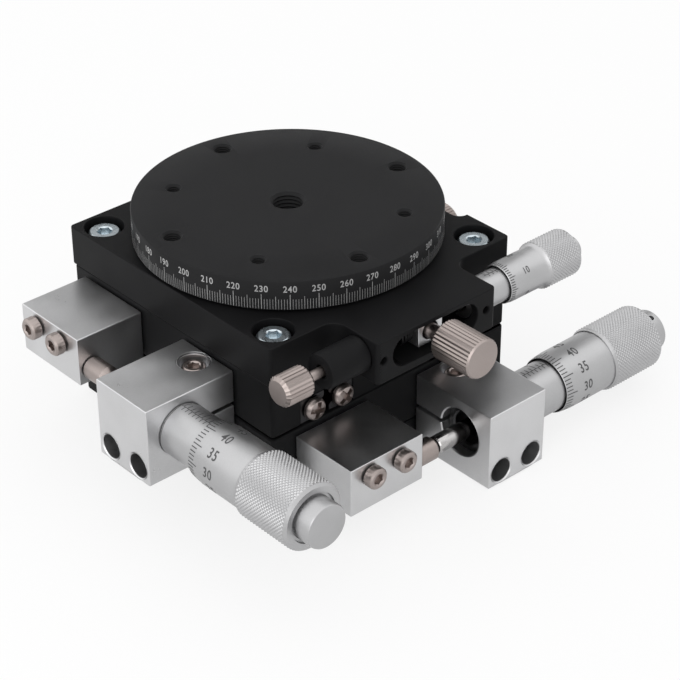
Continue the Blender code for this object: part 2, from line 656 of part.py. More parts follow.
def anvil_block(level):
    seat, shift = LEVELS[level]["seat"], LEVELS[level]["shift"]
    start = ANVIL_BLOCK_START + shift
    end = start + ANVIL_BLOCK_LENGTH
    front = -BLOCK_SEAT - ANVIL_BLOCK_DEPTH
    name = f"{level}_anvil_block"
    body = block(name, (start, front, GAP), (end, -BLOCK_SEAT, BLOCK_TOP), SILVER, seat,
                 round_edges=EDGE_ROUND)
    pocket_end = end - PIN_STUB_LENGTH - GAP
    pocket = rod(f"{name}_pocket", PIN_STUB_RADIUS + GAP, (pocket_end, -BLOCK_SEAT - AXIS_OUT,
                 AXIS_UP), 2 * PIN_STUB_LENGTH, ALONG_X, seat)
    combine(body, pocket)
    middle, pitch = screw_places(level, "block")
    for side, sign in (("left", -0.5), ("right", 0.5)):
        along = middle + sign * pitch
        back = (along, -BLOCK_SEAT + SEAM, BLOCK_SCREW_UP)
        hole = rod(f"{name}_hole_{side}", BLOCK_SCREW_SHANK + GAP, back,
                   ANVIL_BLOCK_DEPTH + 2 * SEAM, ALONG_MINUS_Y, seat)
        combine(body, hole)
        cap_screw(f"{name}_screw_{side}", BLOCK_SCREW_HEAD, BLOCK_SCREW_SHANK, BLOCK_SCREW_HEIGHT,
                  ANVIL_BLOCK_DEPTH + SCREW_GRIP, NICKEL, seat, (along, front - GAP, BLOCK_SCREW_UP),
                  ALONG_MINUS_Y)
    pin = [
        (0.0, PIN_LENGTH),
        (PIN_RADIUS - PIN_CHAMFER, PIN_LENGTH),
        (PIN_RADIUS, PIN_LENGTH - PIN_CHAMFER),
        (PIN_RADIUS, GAP),
        (PIN_STUB_RADIUS, GAP),
        (PIN_STUB_RADIUS, -PIN_STUB_LENGTH),
        (0.0, -PIN_STUB_LENGTH),
    ]
    turned(f"{level}_anvil_pin", pin, NICKEL, seat, (end, -BLOCK_SEAT - AXIS_OUT, AXIS_UP),
           steps=SMALL_STEPS)


def lock_knob(level):
    start = PLATE_WIDTH / 2 + GAP
    stem = start - CHANNEL_HALF
    collar = LOCK_COLLAR_LENGTH
    profile = [
        (0.0, collar + LOCK_KNOB_LENGTH),
        (LOCK_KNOB_RADIUS - CHAMFER, collar + LOCK_KNOB_LENGTH),
        (LOCK_KNOB_RADIUS, collar + LOCK_KNOB_LENGTH - CHAMFER),
        (LOCK_KNOB_RADIUS, collar + CHAMFER),
        (LOCK_KNOB_RADIUS - CHAMFER, collar),
        (LOCK_COLLAR_RADIUS, collar),
        (LOCK_COLLAR_RADIUS, 0.0),
        (LOCK_SHANK_RADIUS, 0.0),
        (LOCK_SHANK_RADIUS, -stem),
        (0.0, -stem),
    ]
    turned(f"{level}_lock_knob", profile, NICKEL, LEVELS[level]["seat"], (0, start, LOCK_UP), ALONG_Y)


def pan_screw(name, across):
    """A Phillips pan-head screw in the front end of a Y rail."""
    under_head = -RAIL_LENGTH / 2 - GAP
    profile = [
        (0.0, PAN_HEAD_HEIGHT),
        (PAN_HEAD_RADIUS * 0.6, PAN_HEAD_HEIGHT),
        (PAN_HEAD_RADIUS * 0.92, PAN_HEAD_HEIGHT * 0.65),
        (PAN_HEAD_RADIUS, 0.0),
        (PAN_SHANK_RADIUS, 0.0),
        (PAN_SHANK_RADIUS, -SCREW_GRIP),
        (0.0, -SCREW_GRIP),
    ]
    height = BASE_THICKNESS + LEVEL_PITCH + RAIL_MIDDLE
    screw = turned(name, profile, NICKEL, STAGE, (across, under_head, height), ALONG_MINUS_Y, SCREW_STEPS)
    long, short = PAN_HEAD_RADIUS * 0.55, PAN_HEAD_RADIUS * 0.12
    for number, (x, y) in enumerate(((long, short), (short, long))):
        cross = block(f"{name}_cross_{number}", (-x, -y, PAN_HEAD_HEIGHT * 0.45), (x, y, 2 * PAN_HEAD_HEIGHT),
                      None, None, CUTTERS)
        cross.parent = screw
        combine(screw, cross)


def rail_end_screws():
    for side, sign in (("left", -1), ("right", 1)):
        for kind, edge in (("inner", INNER_RAIL), ("outer", OUTER_RAIL)):
            pan_screw(f"y_{kind}_rail_screw_{side}", sign * (edge + RAIL_WIDTH / 2))


def corner_places():
    return [(x * CORNER_SCREW_PLACE, y * CORNER_SCREW_PLACE) for y in (-1, 1) for x in (-1, 1)]


def obround_cutter(name, left, right, height, start, length):
    """A slot with round ends, cut along -Y."""
    radius = height / 2
    mesh = bpy.data.meshes.new(name)
    shape = bmesh.new()
    outline = []
    for centre, first in ((right - radius, -90), (left + radius, 90)):
        for step in range(SMALL_STEPS // 2 + 1):
            angle = math.radians(first + 180 * step / (SMALL_STEPS // 2))
            point = (centre + radius * math.cos(angle), start, radius * math.sin(angle))
            outline.append(shape.verts.new(point))
    extrude(shape, outline, (0, -length, 0))
    shape.to_mesh(mesh)
    shape.free()
    return place(new_object(name, mesh, None, CUTTERS), STAGE, (0, 0, FINE_UP))


def bridge_fillet(side):
    """The inside corner between the body's front face and the bridge, filled round."""
    name = f"bridge_fillet_{'left' if side < 0 else 'right'}"
    mesh = bpy.data.meshes.new(name)
    shape = bmesh.new()
    corner = Vector((side * BRIDGE_WIDTH / 2, -TOP_WIDTH / 2, BODY_BOTTOM))
    centre = corner + Vector((side * BRIDGE_FILLET, -BRIDGE_FILLET, 0))
    sunk = Vector((-side * SEAM, SEAM, 0))
    points = [corner + sunk, corner + sunk + Vector((side * (BRIDGE_FILLET + SEAM), 0, 0))]
    for step in range(5):
        angle = math.radians(90 * step / 4)
        points.append(centre + BRIDGE_FILLET * Vector((-side * math.sin(angle), math.cos(angle), 0)))
    points.append(corner + sunk + Vector((0, -BRIDGE_FILLET - SEAM, 0)))
    extrude(shape, [shape.verts.new(point) for point in points], (0, 0, BODY_TOP - BODY_BOTTOM))
    shape.to_mesh(mesh)
    shape.free()
    return place(new_object(name, mesh, None, CUTTERS), STAGE, (0, 0, 0))


def rotary_body():
    half = TOP_WIDTH / 2
    body = block("rotary_body", (-half, -half, BODY_BOTTOM), (half, half, BODY_TOP), BLACK, STAGE)
    bridge = block("bridge", (-BRIDGE_WIDTH / 2, -BRIDGE_FRONT, BODY_BOTTOM),
                   (BRIDGE_WIDTH / 2, -half + SEAM, BODY_TOP), None, STAGE, CUTTERS)
    lip = block("bridge_lip", (-BRIDGE_WIDTH / 2, -BRIDGE_FRONT, BRIDGE_BOTTOM),
                (BRIDGE_WIDTH / 2, -half - GAP, BODY_BOTTOM + SEAM), None, STAGE, CUTTERS)
    for piece in (bridge, lip, bridge_fillet(-1), bridge_fillet(1)):
        combine(body, piece, "UNION")
    cavity = rod("ring_cavity", CAVITY_RADIUS, (0, 0, CAVITY_FLOOR), BODY_TOP, parent=STAGE,
                 sides=RING_STEPS)
    seat = rod("bearing_seat", BEARING_OUTER + GAP, (0, 0, BEARING_SEAT), BODY_TOP, parent=STAGE,
               sides=RING_STEPS)
    through = rod("floor_hole", FLOOR_HOLE_RADIUS, (0, 0, BRIDGE_BOTTOM), BODY_TOP, parent=STAGE,
                  sides=RING_STEPS)
    slot = obround_cutter("arm_slot", -SLOT_LEFT, SLOT_RIGHT, SLOT_HEIGHT, -CAVITY_RADIUS + BRIDGE_FILLET,
                          BRIDGE_FRONT)
    bores = []
    for name, start, turn in (("barrel_seat", -SLOT_LEFT + SLOT_HEIGHT / 2, ALONG_MINUS_X),
                              ("sleeve_seat", SLOT_RIGHT - SLOT_HEIGHT / 2, ALONG_X)):
        place_of_bore = (start, -FINE_OUT, FINE_UP)
        bores.append(rod(name, NOSE_RADIUS + GAP, place_of_bore, BRIDGE_WIDTH, turn, STAGE))
    for cutter in (cavity, seat, through, slot, *bores):
        combine(body, cutter)
    floor = BODY_TOP - CORNER_POCKET_DEPTH
    for number, (x, y) in enumerate(corner_places()):
        pocket = rod(f"corner_pocket_{number}", CORNER_POCKET_RADIUS, (x, y, floor), BODY_TOP, parent=STAGE,
                     sides=ROUND_STEPS)
        hole = rod(f"corner_hole_{number}", CORNER_SCREW_SHANK + GAP, (x, y, BODY_BOTTOM - GAP), BODY_TOP,
                   parent=STAGE)
        combine(body, pocket)
        combine(body, hole)
        name = f"corner_screw_{('front', 'back')[y > 0]}_{('left', 'right')[x > 0]}"
        shank = floor + GAP - BODY_BOTTOM + SCREW_GRIP
        cap_screw(name, CORNER_SCREW_HEAD, CORNER_SCREW_SHANK, CORNER_SCREW_HEIGHT, shank, ZINC, STAGE,
                  (x, y, floor + GAP), ALONG_Z)


def turntable_bearing():
    low, high = BEARING_SEAT + GAP, DISC_BOTTOM - GAP
    middle = (BEARING_INNER + BEARING_OUTER) / 2
    relief = 0.3 * MM
    profile = [
        (BEARING_OUTER, high),
        (BEARING_OUTER, low),
        (BEARING_INNER, low),
        (BEARING_INNER, high),
        (middle - relief, high),
        (middle, high - relief),
        (middle + relief, high),
    ]
    turned("turntable_bearing", profile, GROUND_STEEL, STAGE, (0, 0, 0), ALONG_Z, RING_STEPS, closed=True)


def tangent_arm():
    top = RING_BOTTOM + RING_HEIGHT
    profile = [
        (RING_OUTER, top),
        (RING_OUTER, RING_BOTTOM),
        (BEARING_INNER, RING_BOTTOM),
        (BEARING_INNER, top),
    ]
    ring = turned("tangent_arm", profile, SILVER, STAGE, (0, 0, 0), ALONG_Z, RING_STEPS, closed=True)
    arm = block("arm_bar", (-ARM_WIDTH / 2, -ARM_TIP, FINE_UP - ARM_HEIGHT / 2),
                (ARM_WIDTH / 2, -(RING_OUTER + BEARING_INNER) / 2, FINE_UP + ARM_HEIGHT / 2 - 2 * GAP),
                None, STAGE, CUTTERS)
    hole = rod("arm_hole", ARM_HOLE_RADIUS, (0, 0, FINE_UP), 2 * ARM_TIP, ALONG_MINUS_Y, STAGE)
    combine(ring, arm, "UNION")
    combine(ring, hole)
    shank = CLAMP_KNOB_FACE - CLAMP_KNOB_LENGTH - BEARING_INNER - CHAMFER
    turned("arm_clamp_knob", knob_profile(CLAMP_KNOB_RADIUS, CLAMP_KNOB_LENGTH, CLAMP_SHANK_RADIUS, shank),
           NICKEL, STAGE, (0, -CLAMP_KNOB_FACE + CLAMP_KNOB_LENGTH, FINE_UP), ALONG_MINUS_Y)


def spring_plunger():
    axis = (0, -FINE_OUT, FINE_UP)
    wall = -BRIDGE_WIDTH / 2 - GAP
    end = wall - BARREL_LENGTH
    nose_end = -SLOT_LEFT - GAP
    barrel = [
        (NOSE_RADIUS, nose_end),
        (NOSE_RADIUS, wall),
        (BARREL_RADIUS, wall),
        (BARREL_RADIUS, end + CHAMFER),
        (BARREL_RADIUS - CHAMFER, end),
        (PLUNGER_SHANK_RADIUS + GAP, end),
        (PLUNGER_SHANK_RADIUS + GAP, end + BARREL_WALL),
        (BARREL_BORE_RADIUS, end + BARREL_WALL),
        (BARREL_BORE_RADIUS, nose_end),
    ]
    turned("spring_barrel", barrel, BLACK, STAGE, axis, closed=True)
    head = -ARM_WIDTH / 2 - TIP_GAP
    knob = -PLUNGER_KNOB_START
    rod_profile = [
        (0.0, head),
        (PLUNGER_HEAD_RADIUS, head),
        (PLUNGER_HEAD_RADIUS, head - PLUNGER_HEAD_LENGTH),
        (PLUNGER_SHANK_RADIUS, head - PLUNGER_HEAD_LENGTH),
        (PLUNGER_SHANK_RADIUS, knob),
        (PLUNGER_KNOB_RADIUS - CHAMFER, knob),
        (PLUNGER_KNOB_RADIUS, knob - CHAMFER),
        (PLUNGER_KNOB_RADIUS, knob - PLUNGER_KNOB_LENGTH + CHAMFER),
        (PLUNGER_KNOB_RADIUS - CHAMFER, knob - PLUNGER_KNOB_LENGTH),
        (0.0, knob - PLUNGER_KNOB_LENGTH),
    ]
    turned("plunger_rod", rod_profile, NICKEL, STAGE, axis)
    start = end + BARREL_WALL + GAP
    length = head - PLUNGER_HEAD_LENGTH - GAP - start
    coil("preload_spring", PRELOAD_SPRING_RADIUS, PRELOAD_SPRING_WIRE, PRELOAD_SPRING_TURNS, length,
         GROUND_STEEL, STAGE, (start, -FINE_OUT, FINE_UP))


def fine_micrometer():
    axis = (0, -FINE_OUT, FINE_UP)
    wall = BRIDGE_WIDTH / 2 + GAP
    bore = FINE_SPINDLE_RADIUS + GAP
    sleeve = [
        (FINE_SLEEVE_RADIUS, FINE_SLEEVE_END),
        (FINE_SLEEVE_RADIUS, wall),
        (NOSE_RADIUS, wall),
        (NOSE_RADIUS, SLOT_RIGHT + GAP),
        (bore, SLOT_RIGHT + GAP),
        (bore, FINE_SLEEVE_END),
    ]
    turned("fine_micrometer_sleeve", sleeve, CHROME, STAGE, axis, closed=True)
    tip = ARM_WIDTH / 2 + TIP_GAP
    seat = FINE_THIMBLE_END - CHAMFER
    spindle = [
        (0.0, seat),
        (FINE_SPINDLE_RADIUS, seat),
        (FINE_SPINDLE_RADIUS, tip + CHAMFER),
        (FINE_SPINDLE_RADIUS - CHAMFER, tip),
        (0.0, tip),
    ]
    turned("fine_micrometer_spindle", spindle, CHROME, STAGE, axis, steps=SMALL_STEPS)
    cavity = FINE_SLEEVE_END + FINE_TRAVEL + GAP
    thimble = [
        (0.0, FINE_BUTTON_END),
        (FINE_BUTTON_RADIUS - CHAMFER, FINE_BUTTON_END),
        (FINE_BUTTON_RADIUS, FINE_BUTTON_END - CHAMFER),
        (FINE_BUTTON_RADIUS, FINE_THIMBLE_END),
        (FINE_KNURL_RADIUS - CHAMFER, FINE_THIMBLE_END),
        (FINE_KNURL_RADIUS, FINE_THIMBLE_END - CHAMFER),
        (FINE_KNURL_RADIUS, FINE_THIMBLE_KNURL + CHAMFER),
        (FINE_KNURL_RADIUS - CHAMFER, FINE_THIMBLE_KNURL),
        (FINE_THIMBLE_RADIUS, FINE_THIMBLE_KNURL),
        (FINE_THIMBLE_RADIUS, FINE_THIMBLE_CONE_END),
        (FINE_NOSE_RADIUS, FINE_THIMBLE_START),
        (FINE_SLEEVE_RADIUS + GAP, FINE_THIMBLE_START),
        (FINE_SLEEVE_RADIUS + GAP, cavity),
        (bore, cavity),
        (bore, seat + GAP),
        (0.0, seat + GAP),
    ]
    turned("fine_micrometer_thimble", thimble, CHROME, STAGE, axis)


def table_disc():
    hub_bottom = CAVITY_FLOOR + GAP
    profile = [
        (DISC_RADIUS - DISC_CHAMFER, DISC_TOP),
        (DISC_RADIUS, DISC_TOP - DISC_CHAMFER),
        (DISC_RADIUS, DISC_BOTTOM),
        (HUB_RADIUS, DISC_BOTTOM),
        (HUB_RADIUS, hub_bottom),
        (CENTRE_HOLE_RADIUS, hub_bottom),
        (CENTRE_HOLE_RADIUS, DISC_TOP - DISC_CHAMFER),
        (CENTRE_HOLE_RADIUS + DISC_CHAMFER, DISC_TOP),
    ]
    disc = turned("table_disc", profile, BLACK, STAGE, (0, 0, 0), ALONG_Z, DISC_STEPS, closed=True)
    patterns = (
        ("large_hole", LARGE_HOLE_RADIUS, LARGE_HOLE_CIRCLE, LARGE_HOLE_ANGLE),
        ("small_hole", SMALL_HOLE_RADIUS, SMALL_HOLE_CIRCLE, SMALL_HOLE_ANGLE),
    )
    for name, radius, circle, first in patterns:
        for number in range(4):
            angle = math.radians(first + 90 * number)
            start = (circle * math.cos(angle), circle * math.sin(angle), DISC_BOTTOM - GAP)
            hole = rod(f"{name}_{number}", radius, start, DISC_TOP - DISC_BOTTOM + 2 * GAP, parent=STAGE)
            combine(disc, hole)


def build_stage():
    base_plate()
    middle_plate()
    y_plate()
    for level in LEVELS:
        rails(level)
        roller_cages(level)
        return_spring(level)
        micrometer_bracket(level)
        micrometer_head(level)
        anvil_block(level)
        lock_knob(level)
    rail_end_screws()
    rotary_body()
    turntable_bearing()
    tangent_arm()
    spring_plunger()
    fine_micrometer()
    table_disc()


build_stage()
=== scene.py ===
# %% [markdown]
# A manual X-Y-rotation stage, as used on optics benches. Two crossed-roller slides are stacked at
# right angles, each pushed by a micrometer head, and a round table with a degree scale sits on top.
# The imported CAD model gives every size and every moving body. This script dresses it: each visible
# piece is modelled again with its chamfers, knurls, threads and printed scales.

# %% The frame
import math

import bmesh
import bpy
from mathutils import Matrix, Vector


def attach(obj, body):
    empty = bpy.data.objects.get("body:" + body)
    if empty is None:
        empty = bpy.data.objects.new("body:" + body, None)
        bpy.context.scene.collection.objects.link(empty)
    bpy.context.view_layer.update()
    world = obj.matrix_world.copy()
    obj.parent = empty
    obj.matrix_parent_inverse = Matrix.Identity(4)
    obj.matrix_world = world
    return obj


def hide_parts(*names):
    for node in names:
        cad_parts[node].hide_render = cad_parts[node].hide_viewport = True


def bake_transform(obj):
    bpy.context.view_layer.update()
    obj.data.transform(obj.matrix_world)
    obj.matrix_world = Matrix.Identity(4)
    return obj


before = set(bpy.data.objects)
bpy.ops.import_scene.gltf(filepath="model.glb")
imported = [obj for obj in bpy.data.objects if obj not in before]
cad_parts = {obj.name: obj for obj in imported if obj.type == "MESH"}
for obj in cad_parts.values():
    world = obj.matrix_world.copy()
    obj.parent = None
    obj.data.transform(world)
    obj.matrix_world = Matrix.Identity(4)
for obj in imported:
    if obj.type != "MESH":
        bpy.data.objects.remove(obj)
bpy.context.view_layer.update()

# %% [markdown]
# Colours are picked as sRGB hex values, but shaders add and multiply light, so they need
# linear numbers. One function turns one into the other. A second one adds a shader node with its
# settings and its links, which keeps each material short enough to read as a recipe.

# %% Colour and node helpers
MM = 0.001


def linear(colour):
    """An sRGB hex colour as linear red, green, blue and alpha."""
    shares = [int(colour[start:start + 2], 16) / 255 for start in (1, 3, 5)]
    light = [share / 12.92 if share <= 0.04045 else ((share + 0.055) / 1.055) ** 2.4 for share in shares]
    return (*light, 1.0)


def add_node(tree, kind, settings=None, links=None):
    """Add a node. Settings name its properties or input sockets, links give what feeds an input."""
    new = tree.nodes.new(kind)
    for name, value in (settings or {}).items():
        if isinstance(name, str) and hasattr(new, name):
            setattr(new, name, value)
        else:
            new.inputs[name].default_value = value
    for name, source in (links or {}).items():
        tree.links.new(source, new.inputs[name])
    return new


def new_material(name, settings):
    """A Principled material with constant settings on its own sockets."""
    material = bpy.data.materials.new(name)
    material.use_nodes = True
    shader = material.node_tree.nodes["Principled BSDF"]
    for socket, value in settings.items():
        shader.inputs[socket].default_value = value
    return material, material.node_tree, shader


print("a middle grey in linear light:", linear("#808080"))

# %% [markdown]
# Every surface here has two scales of detail. The fine one is what the tool or the blasting left. A
# blasted grain is only a few hundredths of a millimetre, too fine to show from here, so it is drawn
# at a quarter of a millimetre. The coarse one is a faint cloudiness, about a centimetre wide, from
# handling and from the bath. Both are noise textures on Object coordinates, which stay fixed to the
# piece. Stretching the fine noise along one axis turns grains into tool marks. Such a noise seldom
# leaves the middle of its range, so that middle is what the colours and the roughness are spread on.

# %% The surface recipe
NOISE_LOW, NOISE_HIGH = 0.3, 0.7
GRAIN_SHARE = 0.35
GRAIN_HEIGHT = 0.02


def surface(name, dark, light, roughness, metallic, grain, bump, cloud=9.0, spread=0.08, specular=0.5):
    """A solid finish. grain is the fine pattern's size in mm along each axis, cloud the coarse one's."""
    material, tree, shader = new_material(name, {"Metallic": metallic, "Specular IOR Level": specular})
    place = {"Vector": add_node(tree, "ShaderNodeTexCoord").outputs["Object"]}
    clouds = add_node(tree, "ShaderNodeTexNoise", {"Scale": 1 / (cloud * MM), "Detail": 3.0}, place)
    scaled = add_node(tree, "ShaderNodeMapping", {"Scale": [1 / (size * MM) for size in grain]}, place)
    grains = add_node(tree, "ShaderNodeTexNoise", {"Scale": 1.0, "Detail": 2.0},
                      {"Vector": scaled.outputs[0]})
    both = add_node(tree, "ShaderNodeMix", {"Factor": GRAIN_SHARE},
                    {2: clouds.outputs[0], 3: grains.outputs[0]})
    colour = add_node(tree, "ShaderNodeValToRGB", links={"Fac": both.outputs[0]})
    low_stop, high_stop = colour.color_ramp.elements
    low_stop.position = NOISE_LOW
    low_stop.color = linear(dark)
    high_stop.position = NOISE_HIGH
    high_stop.color = linear(light)
    rough_range = {"From Min": NOISE_LOW, "From Max": NOISE_HIGH, "To Min": roughness - spread,
                   "To Max": roughness + spread}
    rough = add_node(tree, "ShaderNodeMapRange", rough_range, {"Value": both.outputs[0]})
    relief = add_node(tree, "ShaderNodeBump", {"Strength": bump, "Distance": GRAIN_HEIGHT * MM},
                      {"Height": grains.outputs[0]})
    tree.links.new(colour.outputs[0], shader.inputs["Base Color"])
    tree.links.new(rough.outputs[0], shader.inputs["Roughness"])
    tree.links.new(relief.outputs[0], shader.inputs["Normal"])
    print("finish:", name)
    return material


# %% [markdown]
# Anodising grows a hard oxide skin on aluminium. Dyed black it gives the plates their deep matte
# grey, which is a dielectric, so it is not metallic: light turns soft on it and only a broad sheen
# shows on the edges. Left clear over a bead-blasted surface it gives the blocks their pale silver.
# The micrometers are satin chrome, turned and then brushed, and the small screws are nickel, a touch
# warmer than chrome. Zinc is bluish. Black oxide is a thin conversion coat on steel, dark and oily.
# The rails and rollers are ground steel in a dark grey, and the spindles are polished almost to a
# mirror, which is why they show bright and dark bands side by side.

# %% Finishes
EVEN = (0.25, 0.25, 0.25)
DRAWN_ALONG_Z = (0.2, 0.2, 4.0)
GROUND_ALONG_X = (3.0, 0.12, 0.12)
BLACK = surface("black_anodised_aluminium", "#131314", "#19191a", 0.48, 0.0, EVEN, 0.25, specular=0.08)
BLACK_TURNED = surface("black_anodised_turned", "#1c1c1d", "#232324", 0.5, 0.0, EVEN, 0.2, cloud=14.0,
                       specular=0.1)
SILVER = surface("clear_anodised_aluminium", "#c6c6c7", "#d3d3d4", 0.34, 1.0, EVEN, 0.3)
CHROME = surface("satin_chrome", "#ababac", "#b8b8b9", 0.38, 1.0, EVEN, 0.12)
NICKEL = surface("nickel_plate", "#978d89", "#a69c98", 0.34, 1.0, EVEN, 0.12)
ZINC = surface("zinc_plate", "#b4bec4", "#cbd4d9", 0.28, 1.0, EVEN, 0.12, cloud=2.5)
BLACK_OXIDE = surface("black_oxide_steel", "#141415", "#1e1e1f", 0.38, 0.6, EVEN, 0.2)
POLISHED = surface("polished_spindle_steel", "#a9a7a6", "#bcbab9", 0.13, 1.0, DRAWN_ALONG_Z, 0.08,
                   spread=0.03)
GROUND_STEEL = surface("ground_bearing_steel", "#3a3a3b", "#4b4b4c", 0.3, 1.0, GROUND_ALONG_X, 0.2)
SPRING_STEEL = surface("drawn_spring_wire", "#9c9a97", "#b7b5b1", 0.28, 1.0, EVEN, 0.1)
DARK_INK = surface("black_scale_ink", "#424243", "#525253", 0.6, 0.0, EVEN, 0.05)
WHITE_INK = surface("white_scale_ink", "#9c9c9c", "#b2b2b2", 0.6, 0.0, EVEN, 0.05)
print(len(bpy.data.materials), "finishes")

# %% [markdown]
# Shapes are drawn in millimetres and scaled to metres when a piece is made. A milled plate starts
# as its corner points, which are made a face and pushed up; the upright edges are then bevelled to
# the cutter's radius. A turned piece is a profile spun round its axis. Holes, slots and seats are
# cut with a Boolean, as the mill does it, because a cutter can carry its own chamfer and thread.

# %% Milled and turned shapes
def as_mesh(shape, name):
    """Write a bmesh into a new mesh. The bmesh is used up."""
    mesh = bpy.data.meshes.new(name)
    shape.to_mesh(mesh)
    shape.free()
    return mesh


def link(made):
    bpy.context.scene.collection.objects.link(made)
    return made


def about_z(degrees):
    return Matrix.Rotation(math.radians(degrees), 4, "Z")


def prism(corners, low, high, rounds):
    """Corner points (x, y) pushed up from low to high, with a radius for each upright edge."""
    shape = bmesh.new()
    base = shape.faces.new([shape.verts.new((x, y, low)) for x, y in corners])
    grown = bmesh.ops.extrude_face_region(shape, geom=[base])["geom"]
    lifted = [item for item in grown if isinstance(item, bmesh.types.BMVert)]
    bmesh.ops.translate(shape, verts=lifted, vec=(0, 0, high - low))
    bmesh.ops.recalc_face_normals(shape, faces=shape.faces)
    for (x, y), radius in zip(corners, rounds):
        upright = [edge for edge in shape.edges
                   if all(math.hypot(end.co.x - x, end.co.y - y) < 0.001 for end in edge.verts)]
        if radius and upright:
            bmesh.ops.bevel(shape, geom=upright, offset=radius, offset_type="OFFSET", segments=8,
                            profile=0.5, affect="EDGES", material=-1)
    return shape


def slab(low, high, corner=0.0):
    """A box between two corners, its upright edges rounded."""
    (x0, y0, z0), (x1, y1, z1) = low, high
    return prism([(x0, y0), (x1, y0), (x1, y1), (x0, y1)], z0, z1, [corner] * 4)


def lathe(profile, steps=72, hollow=False):
    """A turned shape. Its (radius, height) profile is spun about Z and a hollow one is closed."""
    shape = bmesh.new()
    points = [shape.verts.new((radius, 0, height)) for radius, height in profile]
    following = points[1:] + (points[:1] if hollow else [])
    lines = [shape.edges.new(pair) for pair in zip(points, following)]
    bmesh.ops.spin(shape, geom=points + lines, cent=(0, 0, 0), axis=(0, 0, 1), dvec=(0, 0, 0),
                   angle=2 * math.pi, steps=steps, use_merge=True, use_duplicate=False)
    bmesh.ops.remove_doubles(shape, verts=shape.verts, dist=0.0001)
    bmesh.ops.recalc_face_normals(shape, faces=shape.faces)
    return shape


def moved(shape, place):
    bmesh.ops.transform(shape, matrix=place, verts=shape.verts)
    return shape


def join(shape, *others):
    """Add copies of other shapes to this one."""
    for other in others:
        mesh = bpy.data.meshes.new("copy")
        other.to_mesh(mesh)
        shape.from_mesh(mesh)
        bpy.data.meshes.remove(mesh)
    return shape


def carve(shape, cutter, operation="DIFFERENCE"):
    """Cut one shape out of another, or weld it on with UNION. Both are used up."""
    helpers = []
    for source in (shape, cutter):
        helpers.append(link(bpy.data.objects.new("helper", as_mesh(source, "helper"))))
    cut = helpers[0].modifiers.new("cut", "BOOLEAN")
    cut.operation = operation
    cut.solver = "EXACT"
    cut.object = helpers[1]
    graph = bpy.context.evaluated_depsgraph_get()
    result = bpy.data.meshes.new_from_object(helpers[0].evaluated_get(graph))
    made = bmesh.new()
    made.from_mesh(result)
    bmesh.ops.dissolve_degenerate(made, dist=0.0001, edges=made.edges)
    bpy.data.meshes.remove(result)
    for helper in helpers:
        mesh = helper.data
        bpy.data.objects.remove(helper, do_unlink=True)
        bpy.data.meshes.remove(mesh)
    return made


print("test plate volume in mm3:", round(slab((0, 0, 0), (10, 10, 10), 2.0).calc_volume(), 1))

# %% [markdown]
# Every piece rides on a CAD body, hides the CAD nodes it stands for and gets its finish as a
# material. Sharp edges look false in any render, so milled pieces get a Bevel modifier that breaks
# each edge by a few tenths of a millimetre, as a deburring tool does, and the light catches that line.

# %% Making a piece
STILL = Matrix.Identity(4)
ALONG_X = Matrix.Rotation(math.radians(90), 4, "Y")
ALONG_MINUS_X = Matrix.Rotation(math.radians(-90), 4, "Y")
ALONG_Y = Matrix.Rotation(math.radians(-90), 4, "X")
ALONG_MINUS_Y = Matrix.Rotation(math.radians(90), 4, "X")
SHARP = math.radians(30)


def at(x, y, z, turn=STILL):
    return Matrix.Translation((x, y, z)) @ turn


def piece(name, shape, material, body, nodes=(), place=STILL, soft=0.0):
    """Make a shape in millimetres a finished piece. soft is how far its sharp edges are broken.
    Without a body the piece is left free, as the springs are, since each sits between two bodies."""
    moved(shape, Matrix.Scale(MM, 4) @ place)
    mesh = as_mesh(shape, name)
    mesh.materials.append(material)
    mesh.shade_smooth()
    made = link(bpy.data.objects.new(name, mesh))
    if soft:
        edges = made.modifiers.new("broken edges", "BEVEL")
        edges.width = soft * MM
        edges.segments = 2
        edges.limit_method = "ANGLE"
        edges.angle_limit = SHARP
        edges.use_clamp_overlap = False
        edges.harden_normals = True
    else:
        mesh.set_sharp_from_angle(angle=SHARP)
    if body:
        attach(made, body)
    if nodes:
        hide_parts(*nodes)
    return made


# %% [markdown]
# A scale is printed or laser marked, so it has no depth of its own. Strokes and figures are flat
# meshes, laid out on paper first and then bent round the cylinder, two hundredths of a millimetre
# above the metal. Long strokes are cut into strips before they are bent, so they follow the curve.

# %% Printed scales
INK_HEIGHT = 0.02
STRIP = 0.3
FIGURE_CUTS = 12
CAPITAL_SHARE = 0.7
BOLD_SHARE = 0.018
LETTER_SPACE = 1.12


def stroke(width, height, middle):
    """A printed line on the flat sheet. X runs round the cylinder, Y along it."""
    shape = bmesh.new()
    bmesh.ops.create_grid(shape, x_segments=max(1, round(width / STRIP)), y_segments=1, size=0.5)
    bmesh.ops.scale(shape, vec=(width, height, 1), verts=shape.verts)
    bmesh.ops.translate(shape, vec=(*middle, 0), verts=shape.verts)
    return shape


